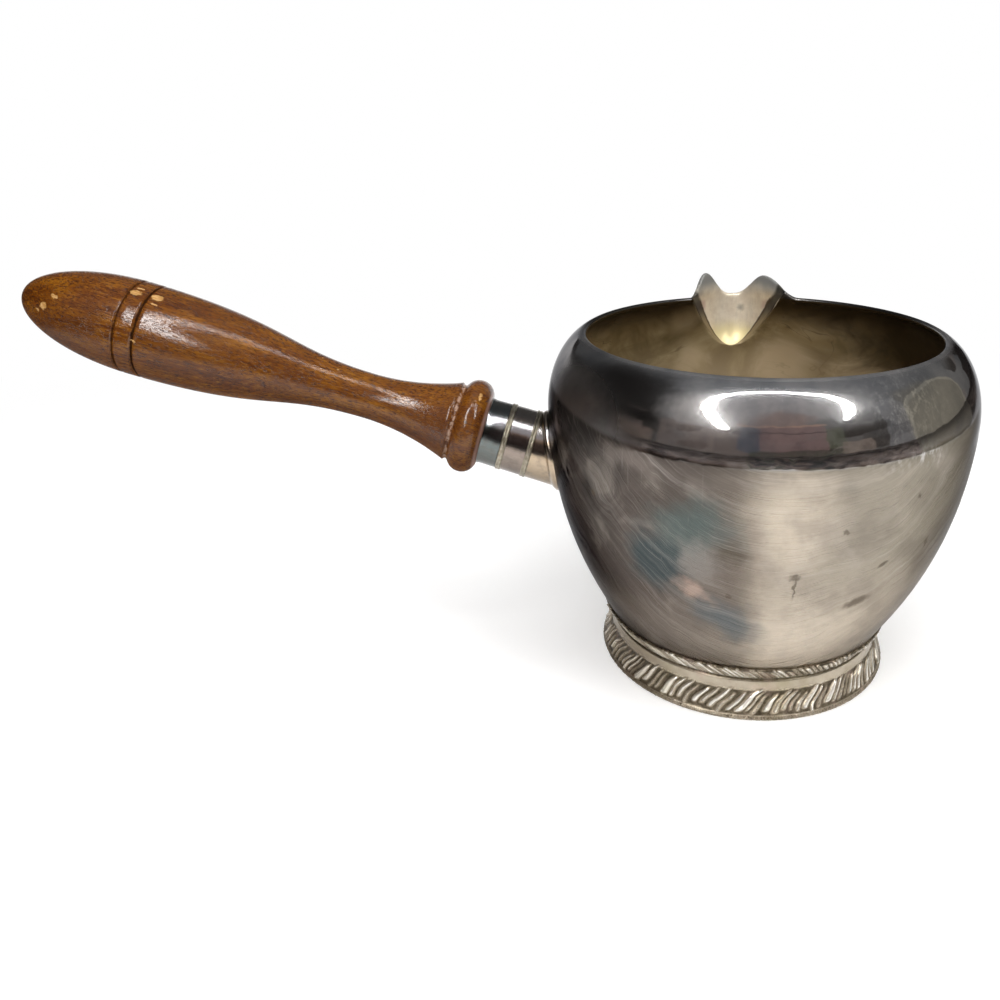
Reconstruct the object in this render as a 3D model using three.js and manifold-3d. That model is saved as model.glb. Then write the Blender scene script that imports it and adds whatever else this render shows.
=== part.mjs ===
// Brandy warmer: a small footed saucepan with a pouring lip and a turned wooden handle.
// Millimetres, +Z up. The handle points along -X and rises; the lip points along +Y.
// The origin is at the bottom centre of the whole object's box, on the surface it stands on.
import * as THREE from 'three';
import { mergeVertices } from 'three/addons/utils/BufferGeometryUtils.js';
import Module from 'manifold-3d';

const wasm = await Module();
wasm.setup();

// Driving dimensions: the bowl. Radii are to the outside of the sheet, heights above the table.
const BELLY_RADIUS = 46.7;
const BELLY_HEIGHT = 61.7;
const SHOULDER_TURN = 76.25;
const SHOULDER_RISE = 17.33;
const RIM_RADIUS = 38.2;
const SEAT_RADIUS = 33;
const WALL_LEAN = 65.2;
const WALL_START_PULL = 5.2;
const WALL_END_PULL = 27.7;
const KNEE_LEAN = 48;
const BASE_HEIGHT = 7;
const BASE_FLAT_RADIUS = 22;
const SHEET = 1.2;

// Driving dimensions: the ring foot
const FOOT_HEIGHT = 12.6;
const FOOT_BASE_RADIUS = 34.05;
const FOOT_EDGE_ROUND = 0.6;
const FOOT_FLARE_RADIUS = 32.7;
const FOOT_FLARE_HEIGHT = 3;
const FOOT_BAND_RADIUS = 31.9;
const FOOT_BAND_HEIGHT = 6.4;
const FOOT_NECK_RADIUS = 31.6;
const FOOT_GROOVE_HEIGHT = 9;
const FOOT_GROOVE_DEPTH = 0.35;
const FOOT_GROOVE_WIDTH = 0.8;
const FOOT_COLLAR_RADIUS = 33.7;
const FOOT_WALL = 2.4;

// Driving dimensions: the pouring lip
const LIP_FROM_HANDLE = 90;
const LIP_HALF_WIDTH = 11.8;
const LIP_DEPTH = 14.9;
const LIP_OVERHANG = 1.8;
const LIP_DIP = 1.3;
const LIP_SHEET = 1.2;
const DIP_FLATNESS = 1.3;
const EAR_HALF_WIDTH = 7.4;
const EAR_RISE = 4.8;
const EAR_FOOT_HALF_WIDTH = 12.8;

// Driving dimensions: the handle. Lengths run along its axis, away from the bowl.
const HANDLE_AXIS_HEIGHT = 35.35;
const HANDLE_RISE_ANGLE = 17.35;
const SOCKET_RADIUS = 7.85;
const SOCKET_TAPER = 0.018;
const SOCKET_WALL = 1.25;
const FRONT_RING_GAP = 0.3;
const RING_SPACING = 6;
const RING_WIDTH = 1.3;
const RING_STAND = 0.25;
const RING_SEAT_DEPTH = 0.5;
const RING_WIRE_STEP = 0.18;
const FERRULE_LENGTH = 4;
const FERRULE_WALL = 1.6;
const PLATE_HALF_WIDTH = 9.2;
const PLATE_HALF_HEIGHT = 8.6;
const PLATE_THICKNESS = 0.8;
const STUD_RADIUS = 2.4;
const STUD_GRIP = 34;
const BOSS_LENGTH = 4.5;

// Driving dimensions: the turned wood. Places are counted from the face that meets the ferrule.
const BEAD_RADIUS = 11.05;
const BEAD_ROUND = 3.5;
const BEAD_END_ANGLE = 58;
const WOOD_GROOVE_DEPTH = 0.5;
const WOOD_GROOVE_WIDTH = 1.3;
const COLLAR_RADIUS = 9.3;
const WAIST_PLACE = 28.3;
const WAIST_RADIUS = 5.3;
const WAIST_PULL = 20.9;
const SWELL_PLACE = 81.8;
const SWELL_RADIUS = 10.85;
const SWELL_PULL = 31.7;
const BUTT_LENGTH = 27.4;
const LINE_DEPTH = 0.35;
const LINE_WIDTH = 1;
const LINE_PLACES = [78.9, 83.2];

// Clearances
const SEAM = 0.3;

// Fineness of the round shapes
const BOWL_SIDES = 48;
const HANDLE_SIDES = 30;
const WALL_STEPS = 18;
const FOOT_STEPS = 4;
const LIP_STEPS = 10;
const LIP_EDGE_STEPS = 14;
const PLATE_STEPS = 9;
const BEAD_STEPS = 7;
const GRIP_STEPS = 7;
const MERGE_DISTANCE = 1e-4;

const silver = new THREE.MeshStandardMaterial({ color: 0x8f8a84, roughness: 0.3, metalness: 1 });
const brightSilver = new THREE.MeshStandardMaterial({ color: 0xb3a994, roughness: 0.3, metalness: 1 });
const footSilver = new THREE.MeshStandardMaterial({ color: 0xa89f8f, roughness: 0.35, metalness: 1 });
const steel = new THREE.MeshStandardMaterial({ color: 0x777777, roughness: 0.4, metalness: 1 });
const brass = new THREE.MeshStandardMaterial({ color: 0x9a8250, roughness: 0.4, metalness: 1 });
const walnut = new THREE.MeshStandardMaterial({ color: 0x7a4214, roughness: 0.25, metalness: 0 });

const radians = THREE.MathUtils.degToRad;

// A closed geometry as a solid that can be cut
function solid(geometry) {
  const bare = geometry.clone();
  bare.deleteAttribute('normal');
  bare.deleteAttribute('uv');
  const merged = mergeVertices(bare, MERGE_DISTANCE);
  const index = merged.index.array;
  const corners = [];
  for (let i = 0; i < index.length; i += 3) {
    const [a, b, c] = [index[i], index[i + 1], index[i + 2]];
    if (a !== b && b !== c && c !== a) corners.push(a, b, c);
  }
  return new wasm.Manifold(new wasm.Mesh({
    numProp: 3,
    vertProperties: Float32Array.from(merged.attributes.position.array),
    triVerts: Uint32Array.from(corners),
  }));
}

// A solid as a named mesh
function piece(name, body, material) {
  const cut = body.getMesh();
  const geometry = new THREE.BufferGeometry();
  geometry.setAttribute('position', new THREE.BufferAttribute(Float32Array.from(cut.vertProperties), 3));
  geometry.setIndex(new THREE.BufferAttribute(Uint32Array.from(cut.triVerts), 1));
  geometry.computeVertexNormals();
  const mesh = new THREE.Mesh(geometry, material);
  mesh.name = name;
  return mesh;
}

const at = (radius, height) => new THREE.Vector2(radius, height);

// A turned shape about Z from points of radius and height
function turned(points, sides) {
  return new THREE.LatheGeometry(points, sides).rotateX(Math.PI / 2);
}

// A turned ring whose outline closes on itself
function turnedRing(points, sides) {
  return turned([...points, points[0].clone()], sides);
}

// The radius of a turned outline at a height, or its last radius above its end
function radiusAt(points, height) {
  const above = points.findIndex((p) => p.y >= height);
  if (above <= 0) return points[points.length - 1].x;
  const [low, high] = [points[above - 1], points[above]];
  return low.x + ((high.x - low.x) * (height - low.y)) / (high.y - low.y);
}

// The bowl's wall from the edge of its flat base to the rim. The knee is hidden in the foot.
function wallPath() {
  const lean = radians(WALL_LEAN);
  const turn = radians(SHOULDER_TURN);
  const shoulderDepth = (BELLY_RADIUS - RIM_RADIUS) / (1 - Math.cos(turn));
  const kneeRadius = SEAT_RADIUS - (FOOT_HEIGHT - BASE_HEIGHT) / Math.tan(radians(KNEE_LEAN));
  const path = new THREE.Path();
  path.moveTo(BASE_FLAT_RADIUS, BASE_HEIGHT);
  path.quadraticCurveTo(kneeRadius, BASE_HEIGHT, SEAT_RADIUS, FOOT_HEIGHT);
  path.bezierCurveTo(
    SEAT_RADIUS + WALL_START_PULL * Math.cos(lean), FOOT_HEIGHT + WALL_START_PULL * Math.sin(lean),
    BELLY_RADIUS, BELLY_HEIGHT - WALL_END_PULL,
    BELLY_RADIUS, BELLY_HEIGHT,
  );
  path.absellipse(
    BELLY_RADIUS - shoulderDepth, BELLY_HEIGHT, shoulderDepth, SHOULDER_RISE, 0, turn, false, 0,
  );
  return path;
}

// Points of the wall moved outwards by a distance, or inwards where it is negative
function wallPoints(outwards) {
  const path = wallPath();
  const points = [];
  for (let i = 0; i <= WALL_STEPS; i += 1) {
    const p = path.getPointAt(i / WALL_STEPS);
    const t = path.getTangentAt(i / WALL_STEPS);
    points.push(at(p.x + t.y * outwards, p.y - t.x * outwards));
  }
  return points;
}

// The bowl as if it were full to the rim, grown by a distance, with a column on it of this height
function fullBowl(outwards, column = 0) {
  const wall = wallPoints(outwards);
  const rim = wall[wall.length - 1];
  const outline = [at(0, wall[0].y), ...wall, at(rim.x, rim.y + column), at(0, rim.y + column)];
  return turned(outline, BOWL_SIDES);
}

const rimHeight = wallPath().getPointAt(1).y;
const wallRadius = (height) => radiusAt(wallPoints(0), height);

// A body through level outlines that have equally many points
function lofted(levels) {
  const count = levels[0].points.length;
  const top = (levels.length - 1) * count;
  const positions = [];
  levels.forEach(({ height, points }) => points.forEach((p) => positions.push(p.x, p.y, height)));
  const index = [];
  for (let start = 0; start < top; start += count) {
    for (let j = 0; j < count; j += 1) {
      const next = (j + 1) % count;
      const [a, b, c, d] = [start + j, start + next, start + count + next, start + count + j];
      index.push(a, b, c, a, c, d);
    }
  }
  THREE.ShapeUtils.triangulateShape(levels[0].points, [])
    .forEach(([a, b, c]) => index.push(c, b, a));
  THREE.ShapeUtils.triangulateShape(levels[levels.length - 1].points, [])
    .forEach(([a, b, c]) => index.push(top + a, top + b, top + c));
  const geometry = new THREE.BufferGeometry();
  geometry.setAttribute('position', new THREE.Float32BufferAttribute(positions, 3));
  geometry.setIndex(index);
  return geometry;
}

// How far the channel's nose is from the bowl's axis at a height. It leans out from the middle of
// the wall's sheet until it hangs over the belly at the dip.
function noseReach(height) {
  const apex = rimHeight - LIP_DEPTH;
  const start = wallRadius(apex) - SHEET / 2;
  const reach = BELLY_RADIUS + LIP_OVERHANG;
  return start + ((reach - start) * (height - apex)) / (LIP_DEPTH - LIP_DIP);
}

// The pouring channel: a beak whose level sections are parabolas that widen upwards.
// Grown by the lip's sheet it is the outside of the lip.
function beak(grow) {
  const apex = rimHeight - LIP_DEPTH - grow;
  const topShare = Math.sqrt((LIP_DEPTH + 2 * EAR_RISE) / LIP_DEPTH);
  const levels = [];
  for (let i = 1; i <= LIP_STEPS; i += 1) {
    const share = (topShare * i) / LIP_STEPS;
    const height = apex + LIP_DEPTH * share ** 2;
    const half = LIP_HALF_WIDTH * share + grow / 2;
    const outside = wallRadius(Math.min(height, rimHeight));
    const side = Math.sqrt(outside ** 2 - Math.min(half, LIP_HALF_WIDTH) ** 2);
    const nose = noseReach(height) + grow;
    const points = [at(half, RIM_RADIUS / 2)];
    for (let j = 0; j <= LIP_EDGE_STEPS; j += 1) {
      const across = 1 - (2 * j) / LIP_EDGE_STEPS;
      points.push(at(half * across, side + (nose - side) * (1 - across ** 2)));
    }
    points.push(at(-half, RIM_RADIUS / 2));
    levels.push({ height, points });
  }
  return solid(lofted(levels).rotateZ(radians(90 - LIP_FROM_HANDLE)));
}

// Height of the lip's top edge at a distance from its middle: a dip between two ears
function lipEdgeHeight(across) {
  const ear = rimHeight + EAR_RISE;
  const dip = rimHeight - LIP_DIP;
  if (across < EAR_HALF_WIDTH) {
    const share = (across / EAR_HALF_WIDTH) ** DIP_FLATNESS;
    return dip + ((ear - dip) * (1 - Math.cos(Math.PI * share))) / 2;
  }
  const share = (across - EAR_HALF_WIDTH) / (EAR_FOOT_HALF_WIDTH - EAR_HALF_WIDTH);
  return rimHeight + (EAR_RISE * (1 + Math.cos(Math.PI * share))) / 2;
}

// Everything above the lip's top edge
function aboveLip() {
  const clear = 2 * BELLY_RADIUS;
  const edge = new THREE.Shape();
  edge.moveTo(-clear, rimHeight);
  for (let i = -LIP_EDGE_STEPS; i <= LIP_EDGE_STEPS; i += 1) {
    const across = (EAR_FOOT_HALF_WIDTH * i) / LIP_EDGE_STEPS;
    edge.lineTo(across, lipEdgeHeight(Math.abs(across)));
  }
  edge.lineTo(clear, rimHeight);
  edge.lineTo(clear, rimHeight + clear);
  edge.lineTo(-clear, rimHeight + clear);
  edge.closePath();
  const block = new THREE.ExtrudeGeometry(edge, { depth: clear, bevelEnabled: false });
  block.rotateX(Math.PI / 2).translate(0, clear, 0);
  return solid(block.rotateZ(radians(90 - LIP_FROM_HANDLE)));
}

function bowl() {
  const outside = wallPoints(0);
  const inside = wallPoints(-SHEET).reverse();
  const outline = [at(0, BASE_HEIGHT), ...outside, ...inside, at(0, BASE_HEIGHT + SHEET)];
  return piece('bowl', solid(turned(outline, BOWL_SIDES)).subtract(beak(0)), silver);
}

function pouringLip() {
  const shell = beak(LIP_SHEET).subtract(beak(0)).subtract(aboveLip());
  return piece('pouring_lip', shell.subtract(solid(fullBowl(SEAM, LIP_DEPTH))), brightSilver);
}

// The ring foot wraps the bottom of the wall: flare, plain band, groove and collar
function footRing() {
  const outline = new THREE.Path();
  outline.moveTo(FOOT_BASE_RADIUS - FOOT_WALL, 0);
  outline.lineTo(FOOT_BASE_RADIUS - FOOT_EDGE_ROUND, 0);
  outline.quadraticCurveTo(FOOT_BASE_RADIUS, 0, FOOT_BASE_RADIUS, FOOT_EDGE_ROUND);
  outline.quadraticCurveTo(FOOT_FLARE_RADIUS, FOOT_FLARE_HEIGHT, FOOT_BAND_RADIUS, FOOT_BAND_HEIGHT);
  outline.lineTo(FOOT_NECK_RADIUS, FOOT_GROOVE_HEIGHT - FOOT_GROOVE_WIDTH / 2);
  outline.lineTo(FOOT_NECK_RADIUS - FOOT_GROOVE_DEPTH, FOOT_GROOVE_HEIGHT);
  outline.lineTo(FOOT_NECK_RADIUS, FOOT_GROOVE_HEIGHT + FOOT_GROOVE_WIDTH / 2);
  outline.lineTo(FOOT_COLLAR_RADIUS, FOOT_HEIGHT);
  outline.lineTo(BASE_FLAT_RADIUS, FOOT_HEIGHT);
  outline.lineTo(FOOT_BASE_RADIUS - FOOT_WALL, 0);
  const ring = solid(turned(outline.getPoints(FOOT_STEPS), BOWL_SIDES));
  return piece('foot_ring', ring.subtract(solid(fullBowl(SEAM))), footSilver);
}

// The handle's frame: its local Z runs along the handle, away from the bowl
const handle = new THREE.Group();
handle.position.set(0, 0, HANDLE_AXIS_HEIGHT);
handle.rotation.set(0, radians(HANDLE_RISE_ANGLE - 90), 0);
handle.updateMatrix();
const intoHandle = handle.matrix.clone().invert();

// The full bowl, grown by a distance, as it lies in the handle's frame
const fullBowlFromHandle = (outwards) => solid(fullBowl(outwards).applyMatrix4(intoHandle));

// Where a line beside the handle's axis, this far above it, leaves the bowl grown by a distance
function wallDistance(above, outwards) {
  const rise = radians(HANDLE_RISE_ANGLE);
  const height = (radius) => HANDLE_AXIS_HEIGHT + (above + radius * Math.sin(rise)) / Math.cos(rise);
  const wall = wallPoints(outwards);
  const next = wall.findIndex((p) => p.y >= height(p.x));
  const [low, high] = [wall[next - 1], wall[next]];
  const short = height(low.x) - low.y;
  const over = high.y - height(high.x);
  const radius = low.x + ((high.x - low.x) * short) / (short + over);
  return radius * Math.cos(rise) + (height(radius) - HANDLE_AXIS_HEIGHT) * Math.sin(rise);
}

// What is soldered to the wall starts as a blank that reaches into the bowl
const blankStart = wallDistance(0, 0) - PLATE_HALF_HEIGHT;
const ringRadius = SOCKET_RADIUS + RING_STAND;
const plateFace = Math.max(
  ...[-ringRadius, -ringRadius / 2, 0, ringRadius / 2, ringRadius]
    .map((above) => wallDistance(above, SEAM + PLATE_THICKNESS)),
);
const frontRingAt = plateFace + FRONT_RING_GAP + RING_WIDTH / 2;
const rearRingAt = frontRingAt + RING_SPACING;
const socketRadius = (distance) => SOCKET_RADIUS - SOCKET_TAPER * (distance - plateFace);
const socketBore = SOCKET_RADIUS - SOCKET_WALL;
const socketEnd = rearRingAt - RING_WIDTH / 2 - SEAM;
const ferruleStart = rearRingAt + RING_WIDTH / 2 + SEAM;
const ferruleEnd = ferruleStart + FERRULE_LENGTH;
const tenonRadius = socketRadius(ferruleStart) - FERRULE_WALL - SEAM;
const bossEnd = socketEnd - RING_WIDTH;
const bossStart = bossEnd - BOSS_LENGTH;
const beadStart = ferruleEnd + SEAM;
const studEnd = beadStart + STUD_GRIP;
const waistAt = beadStart + WAIST_PLACE;
const swellAt = beadStart + SWELL_PLACE;

// A shaped plate bent to the belly, under the socket's end
function socketWallPlate() {
  const outline = new THREE.Shape();
  outline.absellipse(0, 0, PLATE_HALF_HEIGHT, PLATE_HALF_WIDTH, 0, 2 * Math.PI, false, 0);
  const block = new THREE.ExtrudeGeometry(outline, {
    depth: 2 * PLATE_HALF_HEIGHT,
    bevelEnabled: false,
    curveSegments: PLATE_STEPS,
  });
  const blank = solid(block.translate(0, 0, blankStart));
  const bent = blank.intersect(fullBowlFromHandle(SEAM + PLATE_THICKNESS));
  return piece('socket_wall_plate', bent.subtract(fullBowlFromHandle(SEAM)), brightSilver);
}

function handleSocket() {
  const ringStart = frontRingAt - RING_WIDTH / 2 - SEAM;
  const ringEnd = frontRingAt + RING_WIDTH / 2 + SEAM;
  const seat = socketRadius(frontRingAt) - RING_SEAT_DEPTH;
  const outline = [
    at(socketBore, blankStart),
    at(socketRadius(blankStart), blankStart),
    at(socketRadius(ringStart), ringStart),
    at(seat, ringStart),
    at(seat, ringEnd),
    at(socketRadius(ringEnd), ringEnd),
    at(socketRadius(socketEnd), socketEnd),
    at(socketBore, socketEnd),
  ];
  const tube = solid(turnedRing(outline, HANDLE_SIDES));
  const mitred = tube.subtract(fullBowlFromHandle(2 * SEAM + PLATE_THICKNESS));
  return piece('handle_socket', mitred, brightSilver);
}

// A ring of two round wires side by side
function doubleRing(name, distance, bore) {
  const out = socketRadius(distance) + RING_STAND;
  const half = RING_WIDTH / 2;
  const outline = [
    at(bore, distance - half),
    at(out - RING_WIRE_STEP, distance - half),
    at(out, distance - half / 2),
    at(out - RING_WIRE_STEP, distance),
    at(out, distance + half / 2),
    at(out - RING_WIRE_STEP, distance + half),
    at(bore, distance + half),
  ];
  return piece(name, solid(turnedRing(outline, HANDLE_SIDES)), brightSilver);
}

// The threaded boss inside the socket, which takes the stud
function socketBoss() {
  const outline = [
    at(STUD_RADIUS + SEAM, bossStart),
    at(socketBore - SEAM, bossStart),
    at(socketBore - SEAM, bossEnd),
    at(STUD_RADIUS + SEAM, bossEnd),
  ];
  const boss = solid(turnedRing(outline, HANDLE_SIDES));
  return piece('socket_boss', boss.subtract(fullBowlFromHandle(2 * SEAM + PLATE_THICKNESS)), brass);
}

function tangStud() {
  const outline = [at(0, bossStart), at(STUD_RADIUS, bossStart), at(STUD_RADIUS, studEnd), at(0, studEnd)];
  return piece('tang_stud', solid(turned(outline, HANDLE_SIDES)), steel);
}

function handleFerrule() {
  const outline = [
    at(tenonRadius + SEAM, ferruleStart),
    at(socketRadius(ferruleStart), ferruleStart),
    at(socketRadius(ferruleEnd), ferruleEnd),
    at(tenonRadius + SEAM, ferruleEnd),
  ];
  return piece('handle_ferrule', solid(turnedRing(outline, HANDLE_SIDES)), silver);
}

// The grip's outline from the collar behind the bead, through waist and swell, to the butt
function gripPoints(collarAt) {
  const path = new THREE.Path();
  path.moveTo(COLLAR_RADIUS, collarAt);
  path.quadraticCurveTo(WAIST_RADIUS, (collarAt + waistAt) / 2, WAIST_RADIUS, waistAt);
  path.bezierCurveTo(
    WAIST_RADIUS, waistAt + WAIST_PULL, SWELL_RADIUS, swellAt - SWELL_PULL, SWELL_RADIUS, swellAt,
  );
  path.absellipse(0, swellAt, SWELL_RADIUS, BUTT_LENGTH, 0, Math.PI / 2, false, 0);
  return path.getPoints(GRIP_STEPS);
}

// An outline with a fine V line cut into it at each place
function scored(points, places) {
  const cut = points.filter((p) => places.every((place) => Math.abs(p.y - place) > LINE_WIDTH));
  places.forEach((place) => {
    [-LINE_WIDTH / 2, 0, LINE_WIDTH / 2].forEach((offset) => {
      const depth = offset === 0 ? LINE_DEPTH : 0;
      cut.push(at(radiusAt(points, place + offset) - depth, place + offset));
    });
  });
  return cut.sort((a, b) => a.y - b.y);
}

function woodHandle() {
  const boreRadius = STUD_RADIUS + SEAM;
  const outline = [
    at(0, studEnd + SEAM),
    at(boreRadius, studEnd + SEAM),
    at(boreRadius, bossEnd + SEAM),
    at(tenonRadius, bossEnd + SEAM),
    at(tenonRadius, beadStart),
  ];
  const beadTurn = radians(90 + BEAD_END_ANGLE);
  for (let i = 0; i <= BEAD_STEPS; i += 1) {
    const angle = -Math.PI / 2 + (beadTurn * i) / BEAD_STEPS;
    outline.push(at(
      BEAD_RADIUS - BEAD_ROUND + BEAD_ROUND * Math.cos(angle),
      beadStart + BEAD_ROUND + BEAD_ROUND * Math.sin(angle),
    ));
  }
  const beadEnd = outline[outline.length - 1];
  outline.push(at(beadEnd.x - WOOD_GROOVE_DEPTH, beadEnd.y + WOOD_GROOVE_WIDTH / 2));
  const lines = LINE_PLACES.map((place) => beadStart + place);
  outline.push(...scored(gripPoints(beadEnd.y + WOOD_GROOVE_WIDTH), lines));
  outline[outline.length - 1].x = 0;
  return piece('wood_handle', solid(turned(outline, HANDLE_SIDES)), walnut);
}

handle.add(
  socketWallPlate(),
  handleSocket(),
  doubleRing('socket_ring_front', frontRingAt, socketRadius(frontRingAt) - RING_SEAT_DEPTH + SEAM),
  doubleRing('socket_ring_rear', rearRingAt, tenonRadius + SEAM),
  socketBoss(),
  tangStud(),
  handleFerrule(),
  woodHandle(),
);

const vessel = new THREE.Group();
vessel.add(bowl(), pouringLip(), footRing(), handle);
vessel.updateMatrixWorld(true);
const extent = new THREE.Box3().setFromObject(vessel, true);
vessel.position.set(-(extent.min.x + extent.max.x) / 2, -(extent.min.y + extent.max.y) / 2, -extent.min.z);

const brandyWarmer = new THREE.Group();
brandyWarmer.add(vessel);

export default brandyWarmer;
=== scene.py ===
import math

import bmesh
import bpy
import numpy as np
from mathutils import Matrix, Vector


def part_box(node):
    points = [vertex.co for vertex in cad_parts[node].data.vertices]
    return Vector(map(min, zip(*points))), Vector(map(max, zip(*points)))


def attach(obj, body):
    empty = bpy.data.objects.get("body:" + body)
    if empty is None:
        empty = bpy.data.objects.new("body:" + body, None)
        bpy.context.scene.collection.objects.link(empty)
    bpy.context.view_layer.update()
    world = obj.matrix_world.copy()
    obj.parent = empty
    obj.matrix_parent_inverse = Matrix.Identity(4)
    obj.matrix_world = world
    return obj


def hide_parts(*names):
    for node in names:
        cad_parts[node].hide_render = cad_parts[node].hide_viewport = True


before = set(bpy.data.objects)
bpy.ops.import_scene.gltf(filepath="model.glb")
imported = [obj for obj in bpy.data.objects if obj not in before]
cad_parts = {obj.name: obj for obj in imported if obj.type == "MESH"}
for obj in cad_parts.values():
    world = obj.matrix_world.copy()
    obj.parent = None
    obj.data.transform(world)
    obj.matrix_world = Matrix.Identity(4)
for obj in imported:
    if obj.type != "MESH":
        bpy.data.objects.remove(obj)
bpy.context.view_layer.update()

MM = 0.001
foot_low, foot_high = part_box("foot_ring")
AXIS = (np.array(foot_low) + np.array(foot_high)) / 2 / MM
AXIS[2] = 0.0

# The bowl. Radii are to the outside of the sheet.
BELLY_RADIUS = 46.7
BELLY_HEIGHT = 61.7
SHOULDER_TURN = 76.25
SHOULDER_RISE = 17.33
RIM_RADIUS = 38.2
SEAT_RADIUS = 33.0
WALL_LEAN = 65.2
WALL_START_PULL = 5.2
WALL_END_PULL = 27.7
KNEE_LEAN = 48.0
BASE_HEIGHT = 7.0
BASE_FLAT_RADIUS = 22.0
SHEET = 1.2

# The ring foot
FOOT_HEIGHT = 12.6
FOOT_BASE_RADIUS = 34.05
FOOT_EDGE_ROUND = 0.6
FOOT_FLARE_RADIUS = 32.7
FOOT_FLARE_HEIGHT = 3.0
FOOT_BAND_RADIUS = 31.9
FOOT_BAND_HEIGHT = 6.4
FOOT_NECK_RADIUS = 31.6
FOOT_GROOVE_HEIGHT = 9.0
FOOT_GROOVE_DEPTH = 0.35
FOOT_GROOVE_WIDTH = 0.8
FOOT_COLLAR_RADIUS = 33.7
FOOT_WALL = 2.4

# The pouring lip
LIP_HALF_WIDTH = 11.8
LIP_DEPTH = 14.9
LIP_OVERHANG = 1.8
LIP_DIP = 1.3
LIP_SHEET = 1.2
DIP_FLATNESS = 1.3
EAR_HALF_WIDTH = 7.4
EAR_RISE = 4.8
RIGHT_EAR_RISE = 4.1
LEFT_EAR_FOOT = 11.2
RIGHT_EAR_FOOT = 15.2

# The handle. Lengths run along its axis, away from the bowl.
HANDLE_AXIS_HEIGHT = 35.35
HANDLE_RISE_ANGLE = 17.35
SOCKET_RADIUS = 7.85
SOCKET_TAPER = 0.018
SOCKET_WALL = 1.25
FRONT_RING_GAP = 0.3
RING_SPACING = 6.0
RING_WIDTH = 1.3
RING_STAND = 0.25
FERRULE_LENGTH = 4.0
FERRULE_WALL = 1.6
PLATE_HALF_WIDTH = 9.2
PLATE_HALF_HEIGHT = 8.6
PLATE_THICKNESS = 0.8
PLATE_FILLET = 0.9
STUD_RADIUS = 2.4
BEAD_RADIUS = 11.05
BEAD_ROUND = 3.5
BEAD_END_ANGLE = 58.0
WOOD_GROOVE_DEPTH = 0.5
WOOD_GROOVE_WIDTH = 1.3
COLLAR_RADIUS = 9.3
WAIST_PLACE = 28.3
WAIST_RADIUS = 5.3
WAIST_PULL = 20.9
SWELL_PLACE = 81.8
SWELL_RADIUS = 10.85
SWELL_PULL = 31.7
BUTT_LENGTH = 27.4
LINE_DEPTH = 0.35
LINE_WIDTH = 1.0
LINE_PLACES = (78.9, 83.2)
STEM_LENGTH = 1.0
SEAM = 0.3

# The photograph's camera: a 1000 x 1000 picture
PICTURE = 1000
FOCAL_PIXELS = 854.06
OPTICAL_CENTRE = (563.75, 465.49)
CAMERA_PLACE = (-30.03, -187.44, 121.45)
CAMERA_PITCH = 0.38256
CAMERA_ROLL = -0.02016
CAMERA_TURN = math.radians(4.1)

UP = np.array([0.0, 0.0, 1.0])
RISE = math.radians(HANDLE_RISE_ANGLE)
HANDLE_START = HANDLE_AXIS_HEIGHT * UP
ALONG = np.array([-math.cos(RISE), 0.0, math.sin(RISE)])
OVER = np.array([math.sin(RISE), 0.0, math.cos(RISE)])
BESIDE = np.array([0.0, 1.0, 0.0])


def place(points):
    """Millimetres in the bowl's frame as metres in the row frame."""
    return (np.asarray(points, float) + AXIS) * MM


def step_share(value, low, high):
    """Goes evenly from 0 at low to 1 at high."""
    return np.clip((value - low) / (high - low), 0, 1)


def step(value, low, high):
    """Goes smoothly from 0 at low to 1 at high."""
    share = step_share(value, low, high)
    return share * share * (3 - 2 * share)


def add_camera():
    level = np.array([math.cos(CAMERA_TURN), math.sin(CAMERA_TURN), 0.0])
    ahead = math.cos(CAMERA_PITCH) * np.cross(UP, level) - math.sin(CAMERA_PITCH) * UP
    over = np.cross(level, ahead)
    right = math.cos(CAMERA_ROLL) * level + math.sin(CAMERA_ROLL) * over
    top = math.cos(CAMERA_ROLL) * over - math.sin(CAMERA_ROLL) * level
    data = bpy.data.cameras.new("camera")
    data.sensor_width = 36.0
    data.lens = data.sensor_width * FOCAL_PIXELS / PICTURE
    data.shift_x = (PICTURE / 2 - OPTICAL_CENTRE[0]) / PICTURE
    data.shift_y = (OPTICAL_CENTRE[1] - PICTURE / 2) / PICTURE
    data.clip_start = 0.01
    data.clip_end = 50
    camera = bpy.data.objects.new("camera", data)
    turned = Matrix(np.stack([right, top, -ahead], axis=1).tolist()).to_4x4()
    camera.matrix_world = Matrix.Translation(place(CAMERA_PLACE)) @ turned
    bpy.context.collection.objects.link(camera)
    bpy.context.scene.camera = camera


# Outlines of the wall

def bezier(points, count):
    """A number of points along a Bezier curve."""
    share = np.linspace(0, 1, count)[:, None]
    order = len(points) - 1
    return sum(
        math.comb(order, i) * share ** i * (1 - share) ** (order - i) * np.asarray(point, float)
        for i, point in enumerate(points)
    )


def bezier_ways(points, count):
    """The directions in which the curve runs at those points."""
    return bezier(np.diff(np.asarray(points, float), axis=0), count)


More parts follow.
